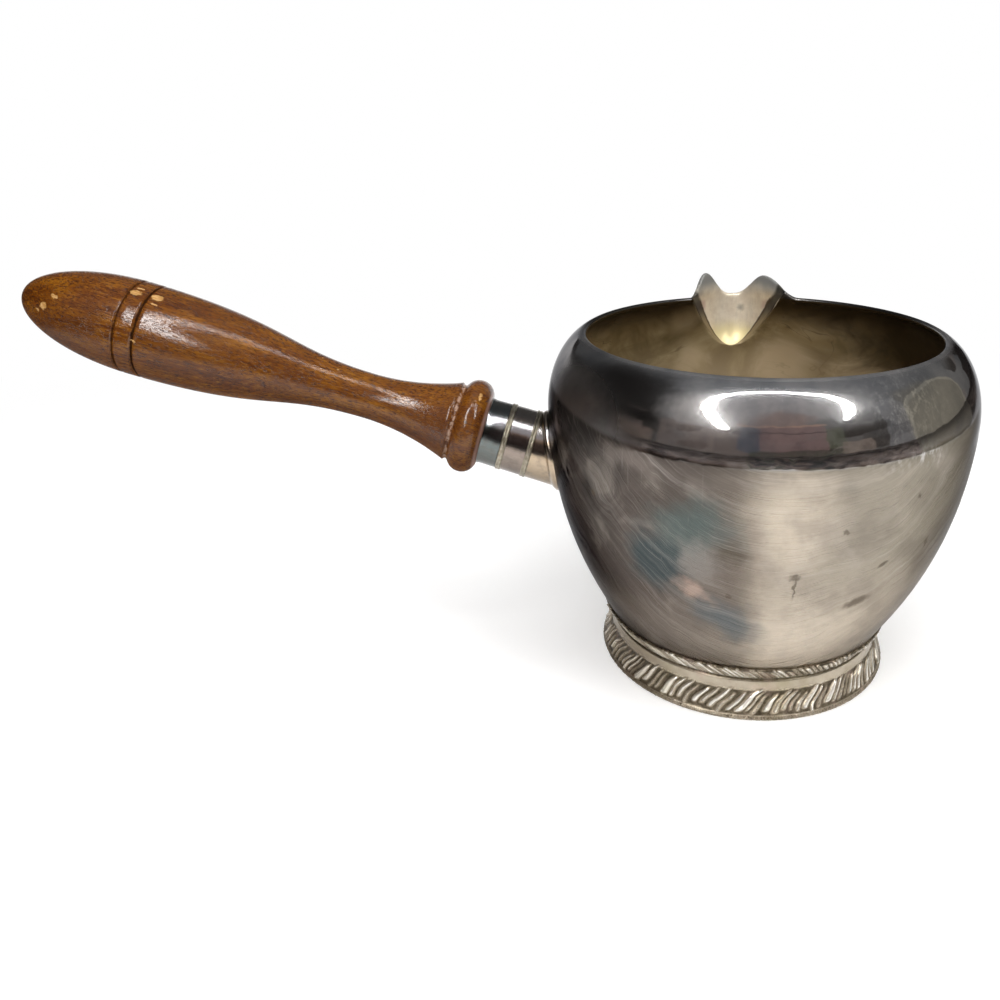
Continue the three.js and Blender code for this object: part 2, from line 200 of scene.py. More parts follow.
def wall_curve(count=400):
    """The wall from the edge of its flat base to the rim: points and outward normals."""
    lean, turn = math.radians(WALL_LEAN), math.radians(SHOULDER_TURN)
    depth = (BELLY_RADIUS - RIM_RADIUS) / (1 - math.cos(turn))
    knee = SEAT_RADIUS - (FOOT_HEIGHT - BASE_HEIGHT) / math.tan(math.radians(KNEE_LEAN))
    low = ((BASE_FLAT_RADIUS, BASE_HEIGHT), (knee, BASE_HEIGHT), (SEAT_RADIUS, FOOT_HEIGHT))
    side = (
        (SEAT_RADIUS, FOOT_HEIGHT),
        (SEAT_RADIUS + WALL_START_PULL * math.cos(lean), FOOT_HEIGHT + WALL_START_PULL * math.sin(lean)),
        (BELLY_RADIUS, BELLY_HEIGHT - WALL_END_PULL),
        (BELLY_RADIUS, BELLY_HEIGHT),
    )
    angle = np.linspace(0, turn, count)
    sine, cosine = np.sin(angle), np.cos(angle)
    top = np.stack([BELLY_RADIUS - depth + depth * cosine, BELLY_HEIGHT + SHOULDER_RISE * sine], 1)
    top_ways = np.stack([-depth * sine, SHOULDER_RISE * cosine], 1)
    points = np.concatenate([bezier(low, count), bezier(side, count)[1:], top[1:]])
    ways = np.concatenate([bezier_ways(low, count), bezier_ways(side, count)[1:], top_ways[1:]])
    ways /= np.linalg.norm(ways, axis=1)[:, None]
    return points, np.stack([ways[:, 1], -ways[:, 0]], 1)


WALL_POINTS, WALL_NORMALS = wall_curve()
WALL_LENGTH = np.concatenate([[0], np.cumsum(np.linalg.norm(np.diff(WALL_POINTS, axis=0), axis=1))])
RIM_HEIGHT = WALL_POINTS[-1, 1]
APEX = RIM_HEIGHT - LIP_DEPTH


def wall_at(length, outward=0.0):
    """The wall's point at a length along its outline, moved outward, as rows of radius and height."""
    point, normal = (
        np.stack([np.interp(length, WALL_LENGTH, rows[:, i]) for i in (0, 1)], -1)
        for rows in (WALL_POINTS, WALL_NORMALS)
    )
    return point + outward * normal


def wall_radius(height, outward=0.0):
    moved = WALL_POINTS + outward * WALL_NORMALS
    return np.interp(height, moved[:, 1], moved[:, 0])


# Meshes

def grid_faces(rows, columns, close_rows=False, close_columns=False):
    i, j = np.meshgrid(
        np.arange(rows - (not close_rows)), np.arange(columns - (not close_columns)), indexing="ij",
    )
    below, above = i * columns, ((i + 1) % rows) * columns
    left, right = j, (j + 1) % columns
    return np.stack([below + left, below + right, above + right, above + left], -1).reshape(-1, 4)


def end_faces(first, count, columns, flipped):
    """Closes the two ends of a sheet whose rows go up one side and down the other."""
    faces = []
    for column in (0, columns - 1):
        for low in range(first, count // 2 - 1):
            quad = [row * columns + column for row in (low, low + 1, count - 2 - low, count - 1 - low)]
            faces.append(quad[::-1] if (column == 0) == flipped else quad)
    return np.array(faces)


def add_piece(
    name, points, faces, materials, replaces, face_material=None, values=None, sharp=None, weld=1e-6,
):
    """Makes a smooth piece from points in the bowl's frame. It rides on the one body."""
    mesh = bpy.data.meshes.new(name)
    mesh.from_pydata(place(points).reshape(-1, 3).tolist(), [], [list(map(int, f)) for f in faces])
    for material in materials:
        mesh.materials.append(material)
    if face_material is not None:
        mesh.polygons.foreach_set("material_index", np.asarray(face_material, np.int32))
    for key, numbers in (values or {}).items():
        mesh.attributes.new(key, "FLOAT", "POINT").data.foreach_set("value", np.asarray(numbers, np.float32))
    work = bmesh.new()
    work.from_mesh(mesh)
    bmesh.ops.remove_doubles(work, verts=work.verts, dist=weld)
    bmesh.ops.dissolve_degenerate(work, edges=work.edges, dist=weld)
    bmesh.ops.recalc_face_normals(work, faces=work.faces)
    work.to_mesh(mesh)
    work.free()
    mesh.polygons.foreach_set("use_smooth", np.ones(len(mesh.polygons), bool))
    if sharp:
        mesh.set_sharp_from_angle(angle=math.radians(sharp))
    piece = bpy.data.objects.new(name, mesh)
    bpy.context.collection.objects.link(piece)
    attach(piece, "root")
    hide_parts(*replaces)


# Node helpers

class Nodes:
    """Adds nodes to a tree. An input is a number, a colour, a vector or another node's output."""

    def __init__(self, tree):
        self.tree = tree
        tree.nodes.clear()

    def add(self, kind, inputs=None, output=0, **settings):
        node = self.tree.nodes.new(kind)
        for key, value in settings.items():
            setattr(node, key, value)
        for key, value in (inputs or {}).items():
            socket = node.inputs[key]
            if isinstance(value, bpy.types.NodeSocket):
                self.tree.links.new(value, socket)
            elif isinstance(value, (tuple, list)) and len(value) == 3 and len(socket.default_value) == 4:
                socket.default_value = (*value, 1.0)
            else:
                socket.default_value = value
        return node.outputs[output]

    def math(self, operation, a, b=0.0, clamp=False):
        return self.add("ShaderNodeMath", {0: a, 1: b}, operation=operation, use_clamp=clamp)

    def mul(self, a, b):
        return self.math("MULTIPLY", a, b)

    def sum(self, a, b):
        return self.math("ADD", a, b)

    def larger(self, a, b):
        return self.math("MAXIMUM", a, b)

    def away(self, value, middle):
        """How far a value is from a middle."""
        return self.math("ABSOLUTE", self.sum(value, -middle))

    def wobble(self, value, noise, amount):
        """A value moved up and down by a noise."""
        return self.sum(value, self.mul(self.sum(noise, -0.5), amount))

    def vector(self, operation, a, b=(0, 0, 0), output=0):
        return self.add("ShaderNodeVectorMath", {0: a, 1: b}, output, operation=operation)

    def dot(self, a, b):
        return self.vector("DOT_PRODUCT", a, tuple(b), 1)

    def length(self, a):
        return self.vector("LENGTH", a, output=1)

    def mix(self, factor, a, b, blend="MIX"):
        return self.add("ShaderNodeMixRGB", {"Fac": factor, "Color1": a, "Color2": b}, blend_type=blend)

    def tint(self, colour, other, mask, amount):
        """Takes a colour part of the way to another one where a mask is 1."""
        return self.mix(self.mul(mask, amount), colour, other)

    def span(self, value, low, high, start=0.0, end=1.0, smooth=True):
        """Takes a value from low..high to start..end, and stays there outside."""
        kind = "SMOOTHSTEP" if smooth else "LINEAR"
        return self.add("ShaderNodeMapRange", {
            "Value": value, "From Min": low, "From Max": high, "To Min": start, "To Max": end,
        }, interpolation_type=kind)

    def noise(self, at, scale, detail=3.0, roughness=0.5, distortion=0.0, colour=False):
        return self.add("ShaderNodeTexNoise", {
            "Vector": at, "Scale": scale, "Detail": detail, "Roughness": roughness, "Distortion": distortion,
        }, output=1 if colour else 0)

    def streaks(self, parts, scales, detail, roughness, distortion=0.0):
        """A noise on three values, each with its own scale."""
        scaled = self.vector("MULTIPLY", self.join(*parts), scales)
        return self.noise(scaled, 1.0, detail, roughness, distortion)

    def bent(self, at, scale, detail, reach):
        """The position pushed about by a noise, which makes the edge of a spot uneven."""
        push = self.vector("SUBTRACT", self.noise(at, scale, detail, 0.6, colour=True), (0.5, 0.5, 0.5))
        return self.vector("ADD", at, self.vector("MULTIPLY", push, (reach,) * 3))

    def oval(self, at, centre, axes, outer, inner):
        """A mask that is 1 round a centre. Each axis is a direction divided by its reach."""
        offset = self.vector("SUBTRACT", at, tuple(centre))
        return self.span(self.length(self.join(*(self.dot(offset, axis) for axis in axes))), outer, inner)

    def ramp(self, value, stops):
        node = self.tree.nodes.new("ShaderNodeValToRGB")
        self.tree.links.new(value, node.inputs[0])
        elements = node.color_ramp.elements
        while len(elements) < len(stops):
            elements.new(0.5)
        for element, (position, colour) in zip(elements, stops):
            element.position = position
            element.color = (*colour, 1.0)
        return node.outputs[0]

    def bump(self, height, distance, strength, normal=None):
        inputs = {"Height": height, "Distance": distance, "Strength": strength}
        if normal is not None:
            inputs["Normal"] = normal
        return self.add("ShaderNodeBump", inputs)

    def place(self):
        """The position in millimetres in the bowl's frame."""
        where = self.add("ShaderNodeTexCoord", output="Object")
        return self.vector("SUBTRACT", self.vector("MULTIPLY", where, (1 / MM,) * 3), tuple(AXIS))

    def split(self, vector):
        node = self.tree.nodes.new("ShaderNodeSeparateXYZ")
        self.tree.links.new(vector, node.inputs[0])
        return node.outputs

    def join(self, x, y, z):
        return self.add("ShaderNodeCombineXYZ", {0: x, 1: y, 2: z})

    def stretched(self, at, along, across, direction):
        """The position squeezed along a direction, so that a noise on it makes streaks."""
        direction = tuple(np.asarray(direction, float) / np.linalg.norm(direction))
        lengthwise = self.add(
            "ShaderNodeVectorMath", {0: direction, "Scale": self.dot(at, direction)}, operation="SCALE",
        )
        rest = self.vector("SUBTRACT", at, lengthwise)
        wide, long = (self.vector("MULTIPLY", v, (s,) * 3) for v, s in ((rest, across), (lengthwise, along)))
        return self.vector("ADD", wide, long)

    def surface(self, shader, kind="ShaderNodeOutputMaterial"):
        output = self.tree.nodes.get("surface") or self.tree.nodes.new(kind)
        output.name = "surface"
        self.tree.links.new(shader, output.inputs["Surface"])

    def principled(self, **inputs):
        names = {key: key.replace("_", " ").title().replace("Ior", "IOR") for key in inputs}
        shader = self.add("ShaderNodeBsdfPrincipled", {names[k]: v for k, v in inputs.items()})
        self.surface(shader)
        return shader


def new_material(name):
    material = bpy.data.materials.new(name)
    material.use_nodes = True
    return material, Nodes(material.node_tree)


def wall_patch(n, at, azimuth, height, half_width, half_height, edge, tilt=0.0):
    """A mask for an oval on the wall. The azimuth is in degrees from the front towards the right."""
    turn, lean = math.radians(azimuth), math.radians(tilt)
    out = np.array([math.sin(turn), -math.cos(turn), 0.0])
    sideways = np.array([math.cos(turn), math.sin(turn), 0.0])
    long = math.cos(lean) * sideways + math.sin(lean) * UP
    short = math.cos(lean) * UP - math.sin(lean) * sideways
    axes = (long / half_width, short / half_height, out / (4 * max(half_width, half_height)))
    return n.oval(at, float(wall_radius(height)) * out + height * UP, axes, 1 + edge, 1 - edge)


# Materials

MARK_RISE = 60.0

# Tarnish and painted reflection round the belly: degrees from the front towards the right, and the colour
# there. The dark colours at the left and the pale ones from the front round to the right paint the reflection
# of a dark room and a pale table.
BELLY_TARNISH_AND_REFLECTION = (
    (-178, (0.24, 0.2, 0.17)), (-110, (0.15, 0.13, 0.115)), (-72, (0.05, 0.046, 0.043)),
    (-52, (0.07, 0.062, 0.056)), (-38, (0.115, 0.095, 0.083)), (-22, (0.145, 0.122, 0.105)),
    (-12, (0.17, 0.144, 0.12)), (-3, (0.32, 0.276, 0.222)), (12, (0.31, 0.274, 0.222)),
    (26, (0.3, 0.268, 0.215)), (45, (0.25, 0.226, 0.182)), (75, (0.22, 0.202, 0.178)),
    (120, (0.26, 0.23, 0.2)), (178, (0.24, 0.2, 0.17)),
)

# Stains: azimuth, height, half width, half height, edge, tilt, colour, amount
STAINS = (
    (-31.0, 41.5, 7.0, 7.0, 0.5, 0.0, (0.05, 0.066, 0.07), 0.9),
    (-20.5, 50.0, 7.0, 6.0, 0.6, 0.0, (0.085, 0.112, 0.108), 0.8),
    (-12.0, 29.0, 7.5, 4.0, 0.7, -35.0, (0.11, 0.13, 0.14), 0.75),
    (-19.0, 43.5, 3.5, 4.0, 0.7, 0.0, (0.27, 0.25, 0.23), 0.6),
    (-21.0, 36.0, 2.9, 1.6, 0.8, -20.0, (0.5, 0.36, 0.29), 0.55),
    (-12.0, 45.0, 5.0, 5.5, 0.9, 0.0, (0.13, 0.105, 0.09), 0.5),
    (-12.5, 46.5, 2.4, 2.0, 0.9, 20.0, (0.08, 0.064, 0.045), 0.6),
    (-38.0, 62.5, 5.0, 2.5, 0.6, 0.0, (0.2, 0.17, 0.15), 0.5),
)

# Specks: azimuth, height, half width, half height, tilt
SPECKS = (
    (3.6, 41.3, 1.0, 0.8, 0.0), (3.8, 38.6, 0.25, 2.6, 0.0), (22.5, 33.4, 2.7, 1.1, 20.0),
    (26.5, 42.0, 1.1, 0.5, 20.0), (41.0, 44.0, 0.45, 1.0, 0.0), (-12.2, 35.8, 0.6, 0.6, 0.0),
    (14.0, 51.0, 0.5, 0.5, 0.0), (33.0, 56.0, 0.4, 0.6, 0.0), (-50.0, 52.0, 0.5, 0.6, 0.0),
    (60.0, 40.0, 1.5, 0.7, 30.0), (110.0, 48.0, 2.2, 1.2, 15.0), (160.0, 36.0, 1.6, 1.0, 0.0),
    (-110.0, 50.0, 1.8, 1.1, 0.0), (-150.0, 42.0, 1.2, 1.6, 0.0),
)


def silver_outside():
    """Silver plate: mirror-like on the shoulder, satin and tarnished on the belly, where the colour also
    holds a painted reflection.
    """
    material, n = new_material("tarnished_silver_outside")
    at = n.place()
    x, y, z = n.split(at)
    azimuth = n.math("ARCTAN2", x, n.mul(y, -1.0))
    wander = n.noise(at, 0.035, 4, 0.55)
    cloud = n.noise(at, 0.11, 5, 0.6)
    grain = n.noise(at, 1.3, 4, 0.6)
    shifted = n.wobble(azimuth, wander, 0.6)
    # film is the share round the belly that picks tarnish and painted reflection from the table above
    film = n.span(shifted, -math.pi, math.pi, smooth=False)
    belly = n.ramp(film, [((degrees + 180) / 360, colour) for degrees, colour in BELLY_TARNISH_AND_REFLECTION])

    # It is paler low down, most of all at the right, as a painted reflection of the pale table, and darker
    # high up at the left, as a painted reflection of the dark room
    low_left = n.span(z, 34.0, 20.0, 0.0, 0.2)
    low_right = n.span(z, 46.0, 22.0, 0.0, 0.9)
    behind = n.span(n.math("COSINE", azimuth), -0.2, -0.85)
    rightward = n.larger(n.span(shifted, -0.2, 0.05), behind)
    belly = n.mix(n.mix(rightward, low_left, low_right), belly, (0.65, 0.57, 0.47))
    leftward = n.mul(n.span(shifted, -0.15, -0.4), n.span(behind, 1.0, 0.0))
    high_left = n.mul(leftward, n.span(z, 42.0, 55.0))
    belly = n.tint(belly, n.mix(1.0, belly, (0.4, 0.4, 0.42), "MULTIPLY"), high_left, 0.5)
    wide_cloud = n.span(n.noise(at, 0.07, 4, 0.55, 1.0), 0.5, 0.72)
    # The pale patch at the front is a painted reflection of the table; the clouds are tarnish
    for mask, amount, colour in (
        (wall_patch(n, at, 2.0, 54.0, 6.5, 11.0, 0.7), 0.75, (0.6, 0.52, 0.42)),
        (n.span(cloud, 0.42, 0.7), 0.35, (0.13, 0.108, 0.095)),
        (wide_cloud, 0.3, (0.42, 0.37, 0.32)),
    ):
        belly = n.tint(belly, colour, mask, amount)
    bent = n.bent(at, 0.16, 4, 9.0)
    for degrees, height, wide, tall, edge, tilt, colour, amount in STAINS:
        mask = wall_patch(n, bent, degrees, height, wide, tall, edge, tilt)
        belly = n.tint(belly, colour, mask, amount)
    bent_little = n.bent(at, 0.9, 3, 1.6)
    for degrees, height, wide, tall, tilt in SPECKS:
        mask = wall_patch(n, bent_little, degrees, height, wide, tall, 0.5, tilt)
        belly = n.tint(belly, (0.1, 0.08, 0.06), mask, 0.75)

    # Brushed marks: arcs that are level at the front and rise towards both sides
    arc = n.sum(z, n.mul(n.math("COSINE", n.wobble(azimuth, wander, 0.5)), MARK_RISE))
    fine_marks = n.streaks((x, y, arc), (0.07, 0.07, 5.2), 5, 0.75)
    wide_marks = n.streaks((x, y, arc), (0.035, 0.035, 0.55), 4, 0.6)
    upright = n.streaks((x, y, z), (1.6, 1.6, 0.06), 3, 0.6)
    marks = n.sum(n.mul(fine_marks, 0.8), n.mul(wide_marks, 0.2))
    light_mark = n.mix(0.35, belly, (0.75, 0.7, 0.64))
    dark_mark = n.mix(0.6, belly, (0.06, 0.05, 0.043))
    belly = n.tint(belly, light_mark, n.span(marks, 0.5, 0.68), 0.5)
    belly = n.tint(belly, dark_mark, n.span(marks, 0.5, 0.32), 0.45)
    belly = n.tint(belly, light_mark, n.span(wide_marks, 0.52, 0.7), 0.14)
    belly = n.tint(belly, light_mark, n.span(upright, 0.62, 0.78), n.mul(leftward, 0.22))

    # The shoulder keeps its polish, under a thin grey film with hairline scratches
    shoulder = n.mix(n.span(cloud, 0.35, 0.7), (0.66, 0.64, 0.63), (0.46, 0.46, 0.47))
    shoulder = n.tint(shoulder, (0.78, 0.76, 0.75), n.span(grain, 0.6, 0.8), 0.15)
    # The dark patch high at the left is a painted reflection of the dark room, and it is rougher too
    dull = wall_patch(n, at, -60.0, 67.0, 15.0, 9.0, 0.7)
    shoulder = n.tint(shoulder, (0.1, 0.088, 0.08), dull, 0.9)
    height = n.sum(n.wobble(z, cloud, 1.5), n.mul(n.math("COSINE", azimuth), 5.5))
    upper = n.span(height, 68.9, 70.3)
    colour = n.mix(upper, belly, shoulder)
    scuff = n.span(n.streaks((x, y, z), (0.9, 0.9, 0.45), 4, 0.7), 0.45, 0.7)
    colour = n.tint(colour, (0.86, 0.84, 0.82), wall_patch(n, bent, 29.0, 71.0, 9.0, 7.0, 0.6), scuff)
    hair = n.noise(n.stretched(at, 0.3, 6.0, (0.5, 0.3, 0.8)), 1.0, 2, 0.6)
    hair = n.mul(n.span(hair, 0.74, 0.8), n.span(n.noise(at, 0.15, 2), 0.5, 0.65))
    colour = n.tint(colour, (0.8, 0.78, 0.76), hair, 0.6)
    # Painted shade on the top of the rim at the far side
    far_rim_shade = n.mul(n.span(z, 77.0, 78.2), n.span(y, -10.0, 15.0))
    colour = n.tint(colour, (0.06, 0.055, 0.05), far_rim_shade, 0.9)

    # A sharp mirror lobe on the shoulder, with a wide soft one under it where the film scatters light
    satin = n.wobble(n.span(marks, 0.3, 0.7, 0.22, 0.36), cloud, 0.12)
    polish = n.sum(n.span(grain, 0.4, 0.8, 0.045, 0.075), n.mul(hair, 0.2))
    rough = n.mix(n.span(z, 58.0, 63.5), satin, n.larger(polish, n.mul(dull, 0.5)))
    rough = n.larger(rough, n.span(z, 77.4, 78.3, 0.0, 0.36))
    relief = n.sum(n.mul(marks, n.span(z, 63.0, 56.0, 0.05, 1.0)), n.mul(hair, 0.4))
    normal = n.bump(relief, 0.00003, 0.6)
    shared = dict(
        base_color=colour, metallic=1.0, specular_tint=(0.3, 0.3, 0.31),
        normal=n.bump(n.noise(at, 0.2, 2, 0.5), 0.0002, 0.25, normal),
    )
    mirror, haze = n.principled(roughness=rough, **shared), n.principled(roughness=0.26, **shared)
    share = n.mul(upper, n.span(cloud, 0.35, 0.65, 0.1, 0.2))
    n.surface(n.add("ShaderNodeMixShader", {0: share, 1: mirror, 2: haze}))
    return material


# Pale spots on the bowl's inside: the place, how far they reach, amount
WORN_SPOTS = (
    ((14.0, 43.5, 59.5), 10.0, 0.65), ((-11.0, 44.0, 61.0), 6.5, 0.5), ((-14.0, 41.0, 72.5), 6.0, 0.35),
    ((32.0, 32.5, 58.0), 9.0, 0.6),
)


def silver_inside():
    """The bowl's inside: a golden-brown film with wandering stain lines."""
    material, n = new_material("tarnished_silver_inside")
    at = n.place()
    x, y, z = n.split(at)
    flat = n.join(x, y, n.mul(z, 1.6))
    cloud = n.noise(flat, 0.055, 5, 0.62, 0.8)
    colour = n.ramp(cloud, [
        (0.32, (0.13, 0.09, 0.035)), (0.43, (0.25, 0.18, 0.08)), (0.54, (0.42, 0.32, 0.165)),
        (0.7, (0.68, 0.54, 0.32)),
    ])
    line_noise = n.noise(flat, 0.045, 3, 0.55, 1.2)
    line = n.mul(n.span(n.away(line_noise, 0.5), 0.012, 0.002), n.span(n.noise(at, 0.06, 2), 0.45, 0.6))
    pool = n.mul(n.span(line_noise, 0.5, 0.56), n.span(line_noise, 0.64, 0.56))
    colour = n.tint(colour, (0.2, 0.15, 0.06), pool, 0.35)
    colour = n.tint(colour, (0.2, 0.15, 0.07), n.span(n.noise(at, 0.5, 4, 0.65), 0.55, 0.75), 0.3)

    # It is paler lower down. Painted shade makes it almost black under the rim, most of all at the right of
    # the lip, and turns down its shine there
    side = n.math("ARCTAN2", x, y)
    low_down = n.span(n.wobble(z, cloud, 16.0), 68.0, 50.0)
    colour = n.tint(colour, (0.82, 0.65, 0.42), low_down, 0.6)
    for worn_spot, reach, amount in WORN_SPOTS:
        away = n.wobble(n.vector("DISTANCE", at, worn_spot, 1), cloud, 16.0)
        colour = n.tint(colour, (0.98, 0.78, 0.5), n.span(away, reach, reach * 0.25), amount)
    right = n.mul(n.span(n.wobble(side, cloud, 0.8), 0.45, 1.1), n.span(side, 2.9, 1.9))
    colour = n.mix(0.3, colour, (0.03, 0.018, 0.006))
    colour = n.tint(colour, (0.018, 0.011, 0.005), right, 0.95)
    shade_under_rim = n.span(n.wobble(z, cloud, 9.0), 68.5, 76.5)
    colour = n.tint(colour, (0.05, 0.032, 0.012), line, n.span(z, 58.0, 66.0, 0.15, 0.6))
    colour = n.tint(colour, (0.022, 0.013, 0.006), shade_under_rim, 0.9)
    # The top of the rim stays pale at the front and gets painted shade at the back
    rim_top_colour_and_shade = n.mix(n.span(y, -10.0, 15.0), (0.5, 0.47, 0.42), (0.045, 0.04, 0.034))
    colour = n.mix(n.span(z, 77.7, 78.1), colour, rim_top_colour_and_shade)
    n.principled(
        base_color=colour, metallic=0.35, roughness=n.span(cloud, 0.3, 0.7, 0.3, 0.44),
        normal=n.bump(n.noise(at, 0.5, 4, 0.6), 0.0001, 0.4),
        specular_ior_level=n.span(n.larger(right, shade_under_rim), 0.0, 1.0, 0.5, 0.04),
    )
    return material


def silver_lip():
    """The soldered lip: grey ears, a warm channel and a bright yellow floor that is partly a painted
    highlight.
    """
    material, n = new_material("lip_silver")
    at = n.place()
    x, y, z = n.split(at)
    cloud = n.noise(at, 0.35, 4, 0.6)
    rise = n.wobble(z, n.noise(at, 0.14, 3, 0.5), 3.0)
    colour = n.mix(n.span(cloud, 0.35, 0.7), (0.82, 0.71, 0.55), (0.95, 0.85, 0.68))
    colour = n.mix(n.span(rise, 76.5, 81.5), colour, (0.3, 0.3, 0.285))
    # Painted highlight: low in the lip the floor turns bright yellow where it catches the light
    colour = n.mix(n.span(rise, 71.0, 66.5), colour, (0.86, 0.74, 0.42))
    smudge = n.vector("DISTANCE", at, (2.3, BELLY_RADIUS + 1.0, 73.5), 1)
    smudge = n.span(n.sum(smudge, n.mul(cloud, 2.0)), 2.6, 1.0)
    colour = n.tint(colour, (0.13, 0.13, 0.11), smudge, 0.6)
    glint = n.mul(n.span(n.away(x, 0.0), 7.0, 8.0), n.mul(n.span(z, 73.0, 74.5), n.span(z, 77.0, 75.5)))
    colour = n.tint(colour, (0.6, 0.4, 0.32), glint, 0.6)

    # Beyond the soldered seam the metal gets the same painted shade as the bowl's inside under its rim
    across = n.away(n.add("ShaderNodeAttribute", attribute_name="across", output="Fac"), 0.0)
    across = n.wobble(across, n.noise(at, 0.6, 3), 0.05)
    beyond = n.mul(n.span(across, 0.8, 0.86), n.span(rise, 84.5, 81.0))
    beyond_shade_level = n.mix(n.span(rise, 70.0, 75.0), (0.3, 0.225, 0.12), (0.045, 0.04, 0.032))
    colour = n.tint(colour, beyond_shade_level, beyond, 0.95)
    seam = n.mul(n.span(n.away(across, 0.83), 0.035, 0.012), n.span(rise, 78.0, 76.5))
    colour = n.tint(colour, (0.05, 0.03, 0.015), seam, 0.85)
    streak = n.streaks((x, y, z), (1.1, 0.25, 0.2), 4, 0.65)
    colour = n.tint(colour, (0.3, 0.27, 0.2), n.span(streak, 0.5, 0.3), 0.14)
    n.principled(
        base_color=colour, metallic=0.5, roughness=n.span(rise, 66.0, 71.0, 0.44, 0.4),
        normal=n.bump(n.noise(at, 0.8, 4, 0.6), 0.0001, 0.5),
    )
    return material


def silver_foot():
    """The chased ring foot: bright crests with a painted highlight, dark tarnish and painted shade in the
    hollows, and a smooth band between.
    """
    material, n = new_material("foot_silver")
    at = n.place()
    x, y, z = n.split(at)
    relief = n.add("ShaderNodeAttribute", attribute_name="relief", output="Fac")
    grain = n.noise(at, 1.6, 4, 0.65)
    plain = n.mul(n.span(z, 6.5, 7.0), n.span(z, 8.9, 8.5))
    level = n.wobble(relief, grain, n.span(plain, 0.0, 1.0, 0.5, 0.08))
    level = n.wobble(level, n.noise(at, 0.55, 4, 0.6), n.span(plain, 0.0, 1.0, 0.55, 0.2))
    # The ramp paints a highlight on the crests and shade in the hollows, over the tarnish there
    colour = n.ramp(level, [
        (0.02, (0.07, 0.055, 0.033)), (0.2, (0.19, 0.155, 0.105)), (0.42, (0.36, 0.305, 0.225)),
        (0.6, (0.56, 0.5, 0.395)), (0.8, (1.0, 0.97, 0.88)),
    ])
    cloud = n.span(n.noise(at, 0.12, 3, 0.5), 0.5, 0.7, 0.0, 0.3)
    colour = n.mix(cloud, colour, (0.55, 0.55, 0.3), "MULTIPLY")
    colour = n.tint(colour, (0.62, 0.45, 0.38), n.span(n.noise(at, 0.3, 3), 0.55, 0.7), 0.2)
    azimuth = n.math("ARCTAN2", x, n.mul(y, -1.0))
    behind = n.span(n.math("COSINE", azimuth), -0.2, -0.85, 0.0, 0.35)
    leftward = n.math("SUBTRACT", n.span(azimuth, -0.4, -0.95, 0.0, 0.85), behind, True)
    shade = n.larger(leftward, n.span(azimuth, 0.75, 1.25, 0.0, 0.5))
    colour = n.mix(shade, colour, n.mix(1.0, colour, (0.42, 0.38, 0.33), "MULTIPLY"))
    strength = n.sum(n.span(plain, 0.0, 1.0, 0.6, 0.1), n.span(z, 1.4, 0.9, 0.0, 0.4))
    rough = n.tint(n.span(level, 0.2, 0.8, 0.42, 0.17), (0.2, 0.2, 0.2), plain, 0.8)
    n.principled(base_color=colour, metallic=0.6, roughness=rough, normal=n.bump(grain, 0.00012, strength))
    return material


def along_handle(n, at):
    """Distance along the handle's axis, and the two distances across it."""
    offset = n.vector("SUBTRACT", at, tuple(HANDLE_START))
    return [n.dot(offset, way) for way in (ALONG, OVER, BESIDE)]


def silver_socket():
    """Plate on the socket: tan beside the bowl, pinkish grey in the middle, bluish on the ferrule."""
    material, n = new_material("socket_silver")
    at = n.place()
    along, over, beside = along_handle(n, at)
    cloud = n.noise(at, 0.5, 4, 0.6)
    colour = (0.48, 0.38, 0.27)
    for ring, beyond in ((front_ring, (0.29, 0.24, 0.205)), (rear_ring, (0.15, 0.17, 0.165))):
        colour = n.mix(n.span(along, ring - 0.6, ring + 0.6), colour, beyond)
    scratch = n.streaks((along, over, beside), (0.5, 5.0, 5.0), 4, 0.7)

    # Painted reflection lies along the tube over its tarnish and scratches: dark on top, a painted highlight
    # below it, dark again before the lower half, and darker underneath
    turn = n.wobble(n.math("ARCTAN2", beside, over), cloud, 0.16)
    for mask, amount, level in (
        (n.span(cloud, 0.45, 0.7), 0.4, (0.16, 0.135, 0.12)),
        (n.span(scratch, 0.5, 0.8), 0.35, (0.5, 0.47, 0.43)),
        (n.span(turn, -0.62, -0.46), 0.6, (0.09, 0.088, 0.088)),
        (n.span(n.away(turn, -0.84), 0.26, 0.12), 0.75, (0.6, 0.59, 0.62)),
        (n.span(n.away(turn, -1.28), 0.24, 0.12), 0.8, (0.05, 0.045, 0.045)),
        (n.span(turn, -1.5, -2.3), 0.4, (0.1, 0.085, 0.07)),
    ):
        colour = n.tint(colour, level, mask, amount)
    n.principled(
        base_color=colour, metallic=1.0, roughness=n.span(cloud, 0.3, 0.7, 0.16, 0.26),
        normal=n.bump(n.sum(scratch, cloud), 0.00004, 0.5),
    )
    return material


def silver_rings():
    """The wires round the socket: dull gold-grey, with solder between them."""
    material, n = new_material("ring_silver")
    grain = n.noise(n.place(), 0.9, 3, 0.6)
    n.principled(
        base_color=n.mix(n.span(grain, 0.3, 0.7), (0.26, 0.23, 0.17), (0.43, 0.39, 0.31)), metallic=1.0,
        roughness=n.span(grain, 0.3, 0.7, 0.34, 0.44), normal=n.bump(grain, 0.00003, 0.4),
    )
    return material


def turned_metal(name, dark, light, roughness):
    """Plain turned metal with fine lathe lines."""
    material, n = new_material(name)
    at = n.place()
    lines = n.streaks(along_handle(n, at), (6.0, 0.1, 0.1), 3, 0.6)
    n.principled(
        base_color=n.mix(n.span(n.noise(at, 0.3, 4), 0.35, 0.65), dark, light), metallic=1.0,
        roughness=n.span(lines, 0.3, 0.7, roughness, roughness + 0.15), normal=n.bump(lines, 0.00005, 0.5),
    )
    return material


